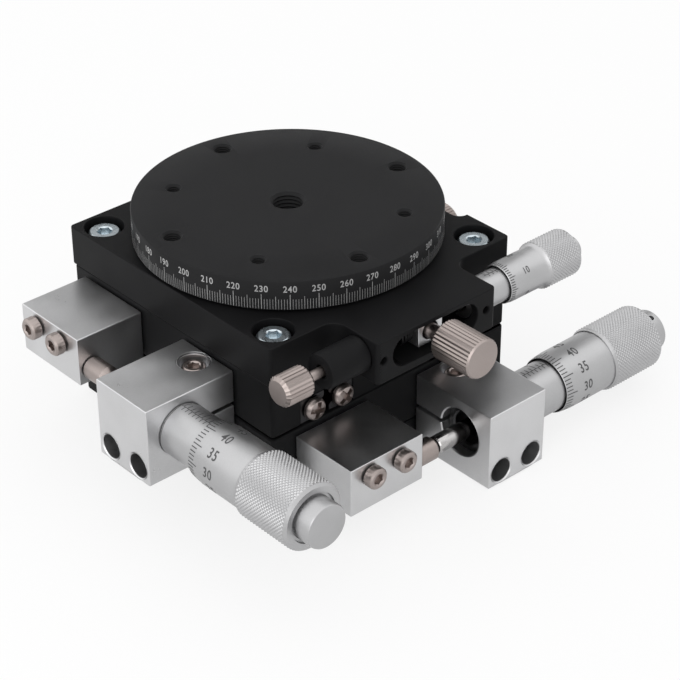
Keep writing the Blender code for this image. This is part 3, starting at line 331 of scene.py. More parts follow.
def figures(text, height, middle, turn_degrees=0.0, narrow=0.8):
    """Printed figures of a given height on the flat sheet, narrow and a little bold."""
    letters = bpy.data.curves.new("letters", "FONT")
    letters.body = text
    letters.size = height / CAPITAL_SHARE
    letters.offset = height * BOLD_SHARE
    letters.space_character = LETTER_SPACE
    letters.align_x = "CENTER"
    letters.align_y = "CENTER"
    holder = bpy.data.objects.new("letters", letters)
    mesh = bpy.data.meshes.new_from_object(holder)
    shape = bmesh.new()
    shape.from_mesh(mesh)
    bpy.data.meshes.remove(mesh)
    bpy.data.objects.remove(holder)
    bpy.data.curves.remove(letters)
    bmesh.ops.scale(shape, vec=(narrow, 1, 1), verts=shape.verts)
    moved(shape, at(*middle, 0, about_z(turn_degrees)))
    reach = height * len(text)
    for number in range(-FIGURE_CUTS, FIGURE_CUTS + 1):
        cut_at = (middle[0] + number * reach / FIGURE_CUTS, 0, 0)
        bmesh.ops.bisect_plane(shape, geom=shape.verts[:] + shape.edges[:] + shape.faces[:], dist=0.0001,
                               plane_co=cut_at, plane_no=(1, 0, 0))
    return shape


def wrap(sheet, radius):
    """Bend the flat sheet round the Z axis. X = 0 comes to +X."""
    reach = radius + INK_HEIGHT
    for point in sheet.verts:
        angle = point.co.x / radius
        point.co = (reach * math.cos(angle), reach * math.sin(angle), point.co.y)
    return sheet


print("a figure has", len(figures("35", 1.6, (0, 0)).faces), "faces")

# %% [markdown]
# Two kinds of knurl are rolled into the grips. Diamond knurling on the micrometers is a grid whose
# every second point is a peak, with each square cell folded along its valley. Straight knurling on
# the thumb screws and on the cap screws' heads is a turned piece whose every second line is low.
# A spring is a small circle that is spun round the axis and rises a little at each step, with its
# first and last coil closed as a compression spring's are.

# %% Knurls and springs
COIL_STEPS = 20


def diamond_knurl(radius, low, high, around, rows, depth):
    """A tube of diamond knurling about Z. Its two end rings lie at the bottom of the pattern."""
    shape = bmesh.new()
    bmesh.ops.create_grid(shape, x_segments=2 * around, y_segments=rows, size=0.5)
    place = {}
    for point in shape.verts:
        place[point] = (round((point.co.x + 0.5) * 2 * around), round((point.co.y + 0.5) * rows))
    for cell in list(shape.faces):
        valley = [corner for corner in cell.verts if sum(place[corner]) % 2]
        bmesh.utils.face_split(cell, *valley)
    for point, (column, row) in place.items():
        peak = (column + row) % 2 == 0 and 0 < row < rows
        reach = radius if peak else radius - depth
        angle = math.pi * column / around
        point.co = (reach * math.cos(angle), reach * math.sin(angle), low + (high - low) * row / rows)
    return shape


def ridge(shape, radius, ridges, depth):
    """Lower every second point of a turned shape's outer wall, for straight knurling."""
    for point in shape.verts:
        if math.hypot(point.co.x, point.co.y) > radius - 0.01:
            turn = round(math.atan2(point.co.y, point.co.x) * ridges / math.pi)
            if turn % 2:
                point.co.x *= 1 - depth / radius
                point.co.y *= 1 - depth / radius
    return shape


def spring(radius, wire, turns, length):
    """A compression spring along Z, from zero to its length."""
    shape = bmesh.new()
    bmesh.ops.create_circle(shape, segments=10, radius=wire / 2)
    end = moved(shape, at(radius, 0, wire / 2, ALONG_Y)).verts[:] + shape.edges[:]
    open_pitch = (length - 3 * wire) / (turns - 2)
    for coils, pitch in ((1, wire), (turns - 2, open_pitch), (1, wire)):
        grown = bmesh.ops.spin(shape, geom=end, cent=(0, 0, 0), axis=(0, 0, 1),
                               dvec=(0, 0, pitch / COIL_STEPS), angle=2 * math.pi * coils,
                               steps=COIL_STEPS * coils)
        end = grown["geom_last"]
    bmesh.ops.holes_fill(shape, edges=shape.edges)
    bmesh.ops.recalc_face_normals(shape, faces=shape.faces)
    return shape


print("knurl test:", len(diamond_knurl(6.7, 0, 13, 52, 34, 0.17).faces), "faces")

# %% [markdown]
# Both slides are the same module, so its pieces are made once, in a frame whose X axis is the
# slide's axis and whose zero is the guide seat. The lower module stands as it is, and the upper one
# is turned by 90 degrees, so its micrometer points to the front of the left side.

# %% Sizes of a slide module, in millimetres
SEAT_X = 6.0
SEAT_Y = 17.5
TOP_WIDTH = 60.0
PLATE_WIDTH = 59.4
BASE_WIDTH = 58.8
SEAM = 0.5
TONGUE_HALF = 9.7
TONGUE_HEIGHT = 5.4
RAIL_END = 29.2
CHANNEL_HALF = 22.9
CHANNEL_TOP = 5.7
PLATE_TOP = 11.5
BLOCK_SEAT = 30.0
BLOCK_TOP = 10.4
AXIS_OUT = 12.0
AXIS_UP = 3.3
RAIL_MIDDLE = 2.85
Y_SHIFT = -1.4
OUTSIDE = 1.0
DRILL_POINT = 0.35
TAP_MOUTH = 0.2
LEVELS = {
    "x": {"place": at(0, 0, SEAT_X), "shift": 0.0, "fixed": "base", "moving": "x_carriage",
          "cap_hole": -160},
    "y": {"place": at(0, 0, SEAT_Y, about_z(-90)), "shift": Y_SHIFT,
          "fixed": "x_carriage", "moving": "y_carriage", "cap_hole": -20},
}


def drill(radius, start, length, turn=STILL, mouth=0.0, steps=40):
    """A drill that starts a little outside a face and ends with a point, with a countersunk mouth."""
    if mouth:
        top = [(radius + mouth + OUTSIDE, OUTSIDE), (radius + mouth, 0), (radius, -mouth)]
    else:
        top = [(radius, OUTSIDE)]
    profile = [(0, OUTSIDE), *top, (radius, -length), (0, -length - radius * DRILL_POINT)]
    return moved(lathe(profile, steps), at(*start, turn))


def tap(radius, start, length, pitch=0.5, steps=40):
    """A tapped hole's cutter: a countersunk mouth and the thread as a row of grooves."""
    crest = radius - pitch * 0.45
    low = crest - radius - TAP_MOUTH
    mouth = radius + TAP_MOUTH
    profile = [(0, OUTSIDE), (mouth + OUTSIDE, OUTSIDE), (mouth, 0), (crest, low)]
    while low - pitch > -length:
        profile += [(radius, low - pitch / 2), (crest, low - pitch)]
        low -= pitch
    profile.append((0, low))
    return moved(lathe(profile, steps), at(*start))


print("upper guide seat at", SEAT_Y, "mm")

# %% [markdown]
# The three plates are milled from bar. A raised tongue on the lower plate carries the two inner
# rails, and a wide channel under the upper plate takes the outer ones. A plate here is a rounded
# block with its channel cut out and its tongue welded on, as one solid, and its edges broken.

# %% Plates
EDGE_BREAK = 0.35
FOOT_HOLE = 25


def tongue():
    guide = slab((-RAIL_END, -TONGUE_HALF, -1.5), (RAIL_END, TONGUE_HALF, TONGUE_HEIGHT))
    return carve(guide, slab((-28.2, -3.2, TONGUE_HEIGHT - 4.5), (24.0, 3.2, TONGUE_HEIGHT + 2), 2.6))


def carriage_plate():
    """A slide's moving plate in its module frame, with the guide channel and the spring's boss."""
    half = PLATE_WIDTH / 2
    plate = slab((-half, -half, SEAM), (half, half, PLATE_TOP), 0.8)
    plate = carve(plate, slab((-40, -CHANNEL_HALF, -2), (40, CHANNEL_HALF, CHANNEL_TOP)))
    boss = slab((-20.5, -1.5, TONGUE_HEIGHT - 4.0), (-18.5, 1.5, CHANNEL_TOP + 0.5))
    plate = carve(plate, boss, "UNION")
    return carve(plate, drill(2.2, (0, half, 5.8), 9.0, ALONG_Y, 0.3))


half = BASE_WIDTH / 2
base = carve(slab((-half, -half, 0), (half, half, SEAT_X), 1.0),
             moved(tongue(), LEVELS["x"]["place"]), "UNION")
for number in range(4):
    corner = about_z(90 * number) @ Vector((FOOT_HOLE, FOOT_HOLE, 0))
    through = lathe([(0, -1.0), (2.9, -1.0), (1.7, 0.2), (1.7, 3.0), (3.1, 3.0), (3.1, 8.0), (0, 8.0)], 40)
    base = carve(base, moved(through, Matrix.Translation(corner)))
piece("base_plate_finished", base, BLACK, "base", ["base_plate"], soft=EDGE_BREAK)

middle_plate = moved(carriage_plate(), LEVELS["x"]["place"])
middle_plate = carve(middle_plate, moved(tongue(), LEVELS["y"]["place"]), "UNION")
piece("middle_plate_finished", middle_plate, BLACK, "x_carriage", ["middle_plate"], soft=EDGE_BREAK)
upper_plate = moved(carriage_plate(), LEVELS["y"]["place"])
piece("y_plate_finished", upper_plate, BLACK, "y_carriage", ["y_plate"], soft=EDGE_BREAK)
print("plates made")

# %% [markdown]
# A socket cap screw is turned, its head is knurled straight for the fingers, and its hexagon is
# punched. One shape is made for each size and copied to its places. The hexagon and the cross of a
# pan-head screw are cut with small tapered punches, so their walls catch light as the real ones do.

# %% Screws
CROSS_DEPTH = 2.4
CROSS_SHARE = 0.29


def cap_screw(head, height, shank, length, socket, ridges):
    """A socket cap screw whose head stands on z = 0."""
    profile = [(0, height), (head - 0.45, height), (head - 0.1, height - 0.3), (head, height - 0.45),
               (head, 0.12), (head - 0.12, 0), (shank, 0), (shank, -length), (0, -length)]
    shape = ridge(lathe(profile, 2 * ridges), head, ridges, head * 0.045)
    hexagon = bmesh.new()
    bmesh.ops.create_cone(hexagon, cap_ends=True, segments=6, radius1=socket * 0.96, radius2=socket,
                          depth=height)
    bmesh.ops.translate(hexagon, verts=hexagon.verts, vec=(0, 0, height * 0.95))
    shape = carve(shape, hexagon)
    lead = lathe([(0, height + 0.4), (socket + 0.55, height + 0.4), (socket * 0.72, height - 0.42),
                  (0, height - 0.42)], 36)
    return carve(shape, lead)


def pan_screw(head, height, shank, length):
    """A cross-recessed pan-head screw whose head stands on z = 0."""
    crown = [(0, height), (head * 0.55, height * 0.97), (head * 0.8, height * 0.86),
             (head * 0.95, height * 0.6), (head, height * 0.3), (head, 0), (shank, 0), (shank, -length),
             (0, -length)]
    shape = lathe(crown, 48)
    for turn in (0, 90):
        wing = bmesh.new()
        bmesh.ops.create_cone(wing, cap_ends=True, segments=4, radius1=head * 0.92, radius2=head * 1.22,
                              depth=CROSS_DEPTH)
        moved(wing, about_z(45))
        bmesh.ops.scale(wing, vec=(1.0, CROSS_SHARE, 1.0), verts=wing.verts)
        shape = carve(shape, moved(wing, at(0, 0, height, about_z(turn))))
    centre = lathe([(0, 1), (head * 0.33, 1), (head * 0.31, -1.15), (0, -1.3)], 32)
    return carve(shape, moved(centre, at(0, 0, height)))


print("a pan screw has", len(pan_screw(2.3, 1.5, 0.9, 4.5).faces), "faces")

# %% [markdown]
# The micrometer's bracket is a block of clear-anodised aluminium with a bore for the sleeve's stem.
# A slit behind the bore and a cap screw across it clamp the stem. Two more cap screws, sunk in the
# front, hold the block to the plate. The photo shows hardly any light in those sinks, so a thin tube
# of a darker chrome lines each one, as painted shade. The anvil block sits on the moving plate and
# carries a hard pin that the spindle pushes on.

# %% Micrometer brackets and anvil blocks
BRACKET_START = 5.9
BRACKET_END = 20.6
BRACKET_FRONT = 50.0
BORE = 5.0
AXIS_FRONT = BLOCK_SEAT + AXIS_OUT
SCREW_SIDE = 4.05
SCREW_LOW = 2.9
SINK_RADIUS = 2.55
SINK_DEPTH = 4.4
SINK_GAP = 0.1
ANVIL_START = -24.5
ANVIL_END = -6.7
ANVIL_FRONT = 45.0
ANVIL_SCREW_SIDE = 3.75
ANVIL_SCREW_UP = 7.6
ANVIL_SCREW_SHIFT = -0.3
BLOCK_BREAK = 0.22


def bracket(shift):
    start, end = BRACKET_START + shift, BRACKET_END + shift
    middle = (start + end) / 2
    block = slab((start, -BRACKET_FRONT, -5.8), (end, -BLOCK_SEAT, BLOCK_TOP))
    bore = lathe([(0, -1.5), (BORE + 1.6, -1.5), (BORE, 0.1), (BORE, end - start - 0.1),
                  (BORE + 1.6, end - start + 1.5), (0, end - start + 1.5)], 96)
    block = carve(block, moved(bore, at(start, -AXIS_FRONT, AXIS_UP, ALONG_X)))
    slit_front = -AXIS_FRONT + BORE * 0.6
    block = carve(block, slab((start - 2, slit_front, AXIS_UP - 0.4), (end + 2, -28, AXIS_UP + 0.4)))
    for side in (-SCREW_SIDE, SCREW_SIDE):
        sink = lathe([(0, 1), (SINK_RADIUS + 1.1, 1), (SINK_RADIUS, -0.1), (SINK_RADIUS, -SINK_DEPTH),
                      (1.2, -SINK_DEPTH), (1.2, -21), (0, -21)], 48)
        block = carve(block, moved(sink, at(middle + side, -BRACKET_FRONT, -SCREW_LOW, ALONG_MINUS_Y)))
    clamp = lathe([(0, 1), (4.2, 1), (2.9, -0.3), (2.9, -3.0), (1.6, -3.0), (1.6, -10.7), (0, -10.7)], 48)
    return carve(block, moved(clamp, at(middle, -BLOCK_SEAT - 3.3, BLOCK_TOP)))


def anvil_block(shift):
    start, end = ANVIL_START + shift, ANVIL_END + shift
    block = slab((start, -ANVIL_FRONT, 0.3), (end, -BLOCK_SEAT, BLOCK_TOP))
    block = carve(block, drill(1.8, (end, -AXIS_FRONT, AXIS_UP), 4.8, ALONG_X, 0.2))
    middle = (start + end) / 2 + ANVIL_SCREW_SHIFT
    for side in (-ANVIL_SCREW_SIDE, ANVIL_SCREW_SIDE):
        through = lathe([(0, 1), (1.5, 1), (1.5, -16), (0, -16)], 32)
        block = carve(block, moved(through, at(middle + side, -ANVIL_FRONT, ANVIL_SCREW_UP, ALONG_MINUS_Y)))
    return block


sunk_screw = cap_screw(2.33, 1.7, 0.9, 19.3, 1.0, 22)
outer, inner, sink_end = SINK_RADIUS - 0.02, SINK_RADIUS - 0.12, SINK_GAP - SINK_DEPTH
# A thin lining tube for each screw sink: its darker chrome is painted shade inside the sink.
sink_shade_lining = lathe([(outer, -0.2), (inner, -0.2), (inner, sink_end), (outer, sink_end)], 64, hollow=True)
clamp_screw = cap_screw(2.25, 1.9, 1.3, 7.4, 1.25, 22)
block_screw = cap_screw(2.2, 2.0, 1.2, 19.0, 1.15, 22)
for level, facts in LEVELS.items():
    place, shift = facts["place"], facts["shift"]
    piece(f"{level}_bracket_finished", bracket(shift), SILVER, facts["fixed"],
          [f"{level}_micrometer_bracket"], place, soft=BLOCK_BREAK)
    piece(f"{level}_anvil_block_finished", anvil_block(shift), SILVER, facts["moving"],
          [f"{level}_anvil_block"], place, soft=BLOCK_BREAK)
    middle = (BRACKET_START + BRACKET_END) / 2 + shift
    anvil_middle = (ANVIL_START + ANVIL_END) / 2 + shift + ANVIL_SCREW_SHIFT
    for side, sign in (("left", -1), ("right", 1)):
        on_face = place @ at(middle + sign * SCREW_SIDE, -BRACKET_FRONT, -SCREW_LOW, ALONG_MINUS_Y)
        piece(f"{level}_sunk_screw_{side}", sunk_screw.copy(), BLACK_OXIDE, facts["fixed"],
              [f"{level}_bracket_screw_{side}"], on_face @ at(0, 0, -SINK_DEPTH))
        # The sink's lining tube, whose darker chrome is painted shade.
        piece(f"{level}_screw_sink_{side}", sink_shade_lining.copy(), CHROME, facts["fixed"], (), on_face)
        on_block = place @ at(anvil_middle + sign * ANVIL_SCREW_SIDE, -ANVIL_FRONT - 0.3, ANVIL_SCREW_UP,
                              ALONG_MINUS_Y)
        piece(f"{level}_block_screw_{side}", block_screw.copy(), NICKEL, facts["moving"],
              [f"{level}_anvil_block_screw_{side}"], on_block)
    piece(f"{level}_stem_clamp_screw", clamp_screw.copy(), NICKEL, facts["fixed"], [f"{level}_clamp_screw"],
          place @ at(middle, -BLOCK_SEAT - 3.3, BLOCK_TOP - 2.7))
    pin = lathe([(0, 5.7), (1.5, 5.7), (2.3, 4.9), (2.3, 0.3), (1.5, 0.3), (1.5, -4.5), (0, -4.5)], 64)
    piece(f"{level}_pin_finished", pin, NICKEL, facts["moving"], [f"{level}_anvil_pin"],
          place @ at(ANVIL_END + shift, -AXIS_FRONT, AXIS_UP, ALONG_X))
print("brackets and anvil blocks made")

# %% [markdown]
# A micrometer head has a sleeve that is clamped in the bracket, a spindle with a fine thread and a
# thimble that turns on the sleeve. One turn is half a millimetre and the thimble has 50 lines, so a
# line is a hundredth. The sleeve carries millimetres above its datum line and halves below it. The
# end of the thimble is a ring with a groove, and a plain cap stands out of it. A stepped ring closes
# the far end of the bracket's bore and lines its wall; its dark ground-steel colour is painted shade
# inside the bore. The readings are those of the photo, seen from its camera.

# %% Micrometer heads
SLEEVE = 5.25
THIMBLE = 6.08
CONE_NOSE = 5.75
KNURL = 6.7
KNURL_DEPTH = 0.17
KNURL_AROUND = 52
KNURL_ROWS = 34
NOSE_END, CONE_END, GRIP_START, GRIP_END, CAP_END = 8.7, 11.6, 22.1, 35.7, 39.3
GRIP_EDGE = 0.45
TOP_OF_SLEEVE = 180
THIMBLE_LINES = 50
LINE_DEGREES = 360 / THIMBLE_LINES
SEEN_SIDE = -90 - 41.2
LARGE_READING, FINE_READING = 35, 10
MERGE = 0.002
ANVIL_TIP_GAP = -1.0 + 0.3


def sealed(shape):
    """Merge the ends of joined parts and turn every face outwards."""
    bmesh.ops.remove_doubles(shape, verts=shape.verts, dist=MERGE)
    bmesh.ops.recalc_face_normals(shape, faces=shape.faces)
    return shape


def sleeve_scale(radius, start, count, above, below, label_every):
    """Millimetre lines on a sleeve, above and below its datum line."""
    sheet = stroke(0.14, count + 1.0, (0, start + count / 2))
    for number in range(2 * count + 1):
        length = above if number % 2 == 0 else below
        side = -1 if number % 2 == 0 else 1
        longer = 0.7 if number % (2 * label_every) == 0 else 0.0
        join(sheet, stroke(length + longer, 0.17, (side * (length + longer) / 2, start + number / 2)))
    for number in range(0, count + 1, label_every):
        join(sheet, figures(str(number), 1.1, (-above - 1.5, start + number), 90))
    wrap(sheet, radius)
    return moved(sheet, about_z(TOP_OF_SLEEVE))


def thimble_scale(radius, nose_radius, nose, cone_end, first_degrees, label_every, figure_height):
    """Fifty lines round the thimble's cone and figures behind them. first_degrees is where 0 is."""
    sheet = bmesh.new()
    for number in range(THIMBLE_LINES):
        length = (cone_end - nose) * (0.86 if number % 5 == 0 else 0.52)
        middle = (-number * 2 * math.pi * radius / THIMBLE_LINES, nose + 0.12 + length / 2)
        join(sheet, stroke(0.2, length, middle))
        if number % label_every == 0:
            join(sheet, figures(str(number), figure_height, (middle[0], cone_end + 2.8), 90))
    for point in sheet.verts:
        height = point.co.y
        slope = min(1.0, max(0.0, (height - nose) / (cone_end - nose)))
        reach = nose_radius + (radius - nose_radius) * slope + INK_HEIGHT
        angle = point.co.x / radius
        point.co = (reach * math.cos(angle), reach * math.sin(angle), height)
    return moved(sheet, about_z(first_degrees))


def micrometer_thimble():
    start, end = GRIP_START + GRIP_EDGE, GRIP_END - GRIP_EDGE
    grip = diamond_knurl(KNURL, start, end, KNURL_AROUND, KNURL_ROWS, KNURL_DEPTH)
    low = KNURL - KNURL_DEPTH
    front = lathe([(SLEEVE + 0.3, 29.0), (SLEEVE + 0.3, NOSE_END + 0.15), (SLEEVE + 0.42, NOSE_END),
                   (CONE_NOSE - 0.07, NOSE_END), (CONE_NOSE, NOSE_END + 0.08), (THIMBLE, CONE_END),
                   (THIMBLE, GRIP_START), (low - 0.25, GRIP_START), (low, start)], 2 * KNURL_AROUND)
    back = lathe([(low, end), (low - 0.55, GRIP_END), (4.95, GRIP_END), (4.85, GRIP_END - 0.6),
                  (4.35, GRIP_END - 0.6), (4.35, CAP_END - 0.5), (4.2, CAP_END - 0.15), (3.85, CAP_END),
                  (0, CAP_END)], 2 * KNURL_AROUND)
    return sealed(join(grip, front, back))


for level, facts in LEVELS.items():
    axis = facts["place"] @ at(BRACKET_END + facts["shift"], -AXIS_FRONT, AXIS_UP, ALONG_X)
    sleeve = lathe([(5.05, 22.4), (SLEEVE, 22.2), (SLEEVE, 0.3), (4.7, 0.3), (4.7, -8.0), (2.1, -8.0),
                    (2.1, 22.4)], 96, hollow=True)
    # The liner's dark ground-steel colour is painted shade inside the bore; its stepped end closes the bore.
    liner = lathe([(4.98, -8.2), (4.98, -12.5), (4.7, -12.8), (3.75, -12.8), (3.4, -12.5), (3.4, -8.2)], 96,
                  hollow=True)
    piece(f"{level}_bore_liner_painted_shade", liner, GROUND_STEEL, facts["fixed"], (), axis)
    piece(f"{level}_sleeve_finished", sleeve, CHROME, facts["fixed"], [f"{level}_micrometer_sleeve"], axis)
    marks = sleeve_scale(SLEEVE, NOSE_END - 8.0, 15, 1.25, 1.0, 5)
    piece(f"{level}_sleeve_scale", marks, DARK_INK, facts["fixed"], (), axis)
    tip = -BRACKET_END + ANVIL_TIP_GAP
    spindle = lathe([(0, 35.3), (1.8, 35.3), (1.8, tip + 0.25), (1.55, tip), (0, tip)], 56)
    piece(f"{level}_spindle_finished", spindle, POLISHED, f"{level}_spindle",
          [f"{level}_micrometer_spindle"], axis)
    thimble = micrometer_thimble()
    hole = moved(lathe([(0, 2), (1.2, 2), (0.62, 0.05), (0.62, -1.6), (0, -1.9)], 24),
                 about_z(facts["cap_hole"]) @ at(4.35, 0, 37.5, ALONG_X))
    piece(f"{level}_thimble_finished", carve(thimble, hole), CHROME, f"{level}_thimble",
          [f"{level}_micrometer_thimble"], axis)
    zero = SEEN_SIDE + LARGE_READING * LINE_DEGREES
    lines = thimble_scale(THIMBLE, CONE_NOSE, NOSE_END, CONE_END, zero, 5, 1.95)
    piece(f"{level}_thimble_scale", lines, DARK_INK, f"{level}_thimble", (), axis)
print("micrometer heads made")

# %% [markdown]
# The rotary body is milled from one block. Its front bridge stands out with rounded inside corners,
# and a slot with round ends lets the tangent arm show. The right face is set back between its corners,
# to give the fingers room at the lock screw. Round pockets at the corners sink the four zinc-plated
# screws that hold it to the slide below.

# %% Rotary body
BODY_BOTTOM, BODY_TOP = 29.3, 37.5
BRIDGE_HALF, BRIDGE_FRONT, BRIDGE_BOTTOM = 14.8, 41.5, 28.8
FINE_OUT, FINE_UP = 36.5, 33.5
SLOT_LEFT, SLOT_RIGHT, SLOT_HEIGHT = 11.1, 10.2, 6.2
CORNER = 25.2
POCKET_RADIUS, POCKET_DEPTH = 3.9, 3.8
WIDE = TOP_WIDTH / 2

outline = [(-WIDE, -WIDE), (-BRIDGE_HALF, -WIDE), (-BRIDGE_HALF, -BRIDGE_FRONT),
           (BRIDGE_HALF, -BRIDGE_FRONT), (BRIDGE_HALF, -WIDE), (WIDE, -WIDE), (WIDE, WIDE), (-WIDE, WIDE)]
body = prism(outline, BODY_BOTTOM, BODY_TOP, [0.8, 3.0, 0.9, 0.9, 3.0, 0.8, 0.8, 0.8])
lip = slab((-BRIDGE_HALF, -BRIDGE_FRONT, BRIDGE_BOTTOM), (BRIDGE_HALF, -WIDE - 0.3, BODY_BOTTOM + 0.5), 0.9)
body = carve(body, lip, "UNION")
inside = lathe([(0, 28), (12.0, 28), (12.0, 30.6), (25.0, 30.6), (25.0, 35.8), (27.5, 35.8), (27.5, 40),
                (0, 40)], 160)
body = carve(body, inside)
body = carve(body, slab((27.8, -18.5, 28), (34, 18.5, 39), 2.0))
slot = slab((-SLOT_LEFT, -SLOT_HEIGHT / 2, 0), (SLOT_RIGHT, SLOT_HEIGHT / 2, 22), SLOT_HEIGHT / 2 - 0.01)
body = carve(body, moved(slot, at(0, -22.0, FINE_UP, ALONG_MINUS_Y)))
for start, turn in ((-SLOT_LEFT + 3, ALONG_MINUS_X), (SLOT_RIGHT - 3, ALONG_X)):
    seat = lathe([(0, 0), (3.3, 0), (3.3, 20), (0, 20)], 48)
    body = carve(body, moved(seat, at(start, -FINE_OUT, FINE_UP, turn)))
for side in (-13.2, 12.4):
    body = carve(body, drill(0.75, (side, -BRIDGE_FRONT, FINE_UP - 0.1), 4.0, ALONG_MINUS_Y, 0.15, 24))
corner_screw = cap_screw(3.2, 2.6, 1.7, 7.6, 1.55, 28)
for depth_name, y in (("front", -CORNER), ("back", CORNER)):
    for side_name, x in (("left", -CORNER), ("right", CORNER)):
        pocket = lathe([(0, 1), (POCKET_RADIUS, 1), (POCKET_RADIUS, -POCKET_DEPTH), (2.0, -POCKET_DEPTH),
                        (2.0, -9), (0, -9)], 64)
        body = carve(body, moved(pocket, at(x, y, BODY_TOP)))
        name = f"corner_screw_{depth_name}_{side_name}"
        seat = at(x, y, BODY_TOP - POCKET_DEPTH + 0.3, Matrix.Rotation(x, 4, "Z"))
        piece(f"{name}_finished", corner_screw.copy(), ZINC, "y_carriage", [name], seat)
piece("rotary_body_finished", body, BLACK, "y_carriage", ["rotary_body"], soft=0.2)
print("rotary body made")

# %% [markdown]
# A ring on the table's hub carries the tangent arm, whose tip stands in the slot between a sprung
# plunger and the fine micrometer. The knurled screw clamps the ring on the hub, and then the fine
# micrometer turns the table by its last few degrees. Thumb screws are nickel-plated and knurled.

# %% Tangent arm and thumb screws
def thumb_screw(radius, length, ridges, shank, shank_length, depth=0.22):
    """A knurled knob above z = 0 and its shank below."""
    soft = 0.35
    profile = [(0, length - 0.05), (radius - 1.0, length), (radius - soft, length), (radius, length - soft),
               (radius, soft), (radius - soft, 0), (shank, 0), (shank, -shank_length + 0.3),
               (shank - 0.3, -shank_length), (0, -shank_length)]
    return ridge(lathe(profile, 2 * ridges), radius, ridges, depth)


KNOB_GAP = 0.3
KNOB_STAND_OFF = 2.9
LOCK_UP = 5.8
arm = lathe([(24.4, 35.45), (24.4, 31.05), (17.3, 31.05), (17.3, 35.45)], 128, hollow=True)
arm = carve(arm, slab((-3.0, -39.5, 30.9), (3.0, -20.5, 35.5)), "UNION")
arm = carve(arm, drill(1.8, (0, -39.5, FINE_UP), 24.0, ALONG_MINUS_Y, 0.2))
piece("tangent_arm_finished", arm, SILVER, "clamp_ring", ["tangent_arm"], soft=0.15)
arm_knob = thumb_screw(4.0, 9.5, 34, 1.5, 25.8, 0.17)
piece("arm_clamp_knob_finished", arm_knob, NICKEL, "arm_knob", ["arm_clamp_knob"],
      at(0, -BRIDGE_FRONT - 2.0, FINE_UP, ALONG_MINUS_Y))
for level, facts in LEVELS.items():
    knob = thumb_screw(4.5, 9.8, 40, 3.0, 0.5)
    neck = [(3.0, 0.6), (3.0, -2.5), (2.6, -KNOB_STAND_OFF), (1.9, -KNOB_STAND_OFF), (1.9, -9.6), (0, -9.6)]
    knob = join(knob, lathe(neck, 80))
    axis = facts["place"] @ at(0, PLATE_WIDTH / 2 + KNOB_GAP + KNOB_STAND_OFF, LOCK_UP, ALONG_Y)
    piece(f"{level}_lock_knob_finished", knob, NICKEL, f"{level}_lock", [f"{level}_lock_knob"], axis)
print("arm and thumb screws made")

# %% [markdown]
# Left of the arm, a black barrel holds the preload spring and its plunger, whose small knob draws
# it back by hand. The spring is wound to reach from the barrel's floor to the plunger's collar as
# they stand. Right of the arm is the fine micrometer, the same kind as the two others at a smaller
# size, with a figure at every tenth line only.

# %% Spring plunger and fine micrometer
BARREL_BOTTOM, COLLAR_BACK = -23.1, -4.75
SHOULDER_OUT = BRIDGE_HALF + 0.3
PLUNGER_KNOB, PLUNGER_RIDGES = 3.0, 24
fine_axis_left = at(0, -FINE_OUT, FINE_UP, ALONG_MINUS_X)
fine_axis = at(0, -FINE_OUT, FINE_UP, ALONG_X)
floor_of_barrel = -BARREL_BOTTOM
barrel = lathe([(3.0, 11.4), (3.0, SHOULDER_OUT), (3.5, SHOULDER_OUT), (3.5, 23.6), (3.3, 24.0), (3.0, 24.1),
                (1.5, 24.1), (1.3, 23.9), (1.3, floor_of_barrel), (2.6, floor_of_barrel), (2.6, 11.4)],
               72, hollow=True)
piece("spring_barrel_finished", barrel, BLACK, "y_carriage", ["spring_barrel"], fine_axis_left)
plunger = lathe([(0, 34.0), (PLUNGER_KNOB - 0.65, 34.0), (PLUNGER_KNOB, 33.35), (PLUNGER_KNOB, 28.05),
                 (2.65, 27.7), (1.0, 27.7), (1.0, 4.6), (0, 4.6)], 2 * PLUNGER_RIDGES)
ridge(plunger, PLUNGER_KNOB, PLUNGER_RIDGES, 0.2)
piece("plunger_rod_finished", plunger, NICKEL, "plunger", ["plunger_rod"], fine_axis_left)
collar = lathe([(0, -COLLAR_BACK), (2.0, -COLLAR_BACK), (2.0, 3.55), (1.8, 3.35), (0, 3.35)], 60)
piece("plunger_collar", collar, BLACK_OXIDE, "plunger", (), fine_axis_left)
wound = spring(1.9, 0.5, 12, COLLAR_BACK - BARREL_BOTTOM)
coils = piece("preload_spring_coils", wound, BLACK_OXIDE, None, ["preload_spring"],
              at(BARREL_BOTTOM, -FINE_OUT, FINE_UP, ALONG_X))
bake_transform(coils)

FINE_SLEEVE, FINE_THIMBLE, FINE_KNURL = 3.35, 4.1, 4.8
FINE_DEPTH, FINE_AROUND, FINE_ROWS = 0.15, 40, 22
FINE_GRIP_START, FINE_GRIP_END = 30.45, 38.45
FINE_CONE_NOSE, FINE_NOSE_END = 3.9, 20.3
fine_sleeve = lathe([(FINE_SLEEVE - 0.15, 32.0), (FINE_SLEEVE, 31.85), (FINE_SLEEVE, SHOULDER_OUT),
                     (3.0, SHOULDER_OUT), (3.0, 10.5), (1.6, 10.5), (1.6, 32.0)], 72, hollow=True)
piece("fine_sleeve_finished", fine_sleeve, CHROME, "y_carriage", ["fine_micrometer_sleeve"], fine_axis)
marks = sleeve_scale(FINE_SLEEVE, 17.1, 6, 0.9, 0.7, 5)
piece("fine_sleeve_scale", marks, DARK_INK, "y_carriage", (), fine_axis)
fine_spindle = lathe([(0, 38.4), (1.3, 38.4), (1.3, 3.6), (1.05, 3.35), (0, 3.35)], 48)
piece("fine_spindle_finished", fine_spindle, POLISHED, "fine_spindle", ["fine_micrometer_spindle"],
      fine_axis)
low = FINE_KNURL - FINE_DEPTH
fine_grip = diamond_knurl(FINE_KNURL, FINE_GRIP_START, FINE_GRIP_END, FINE_AROUND, FINE_ROWS, FINE_DEPTH)
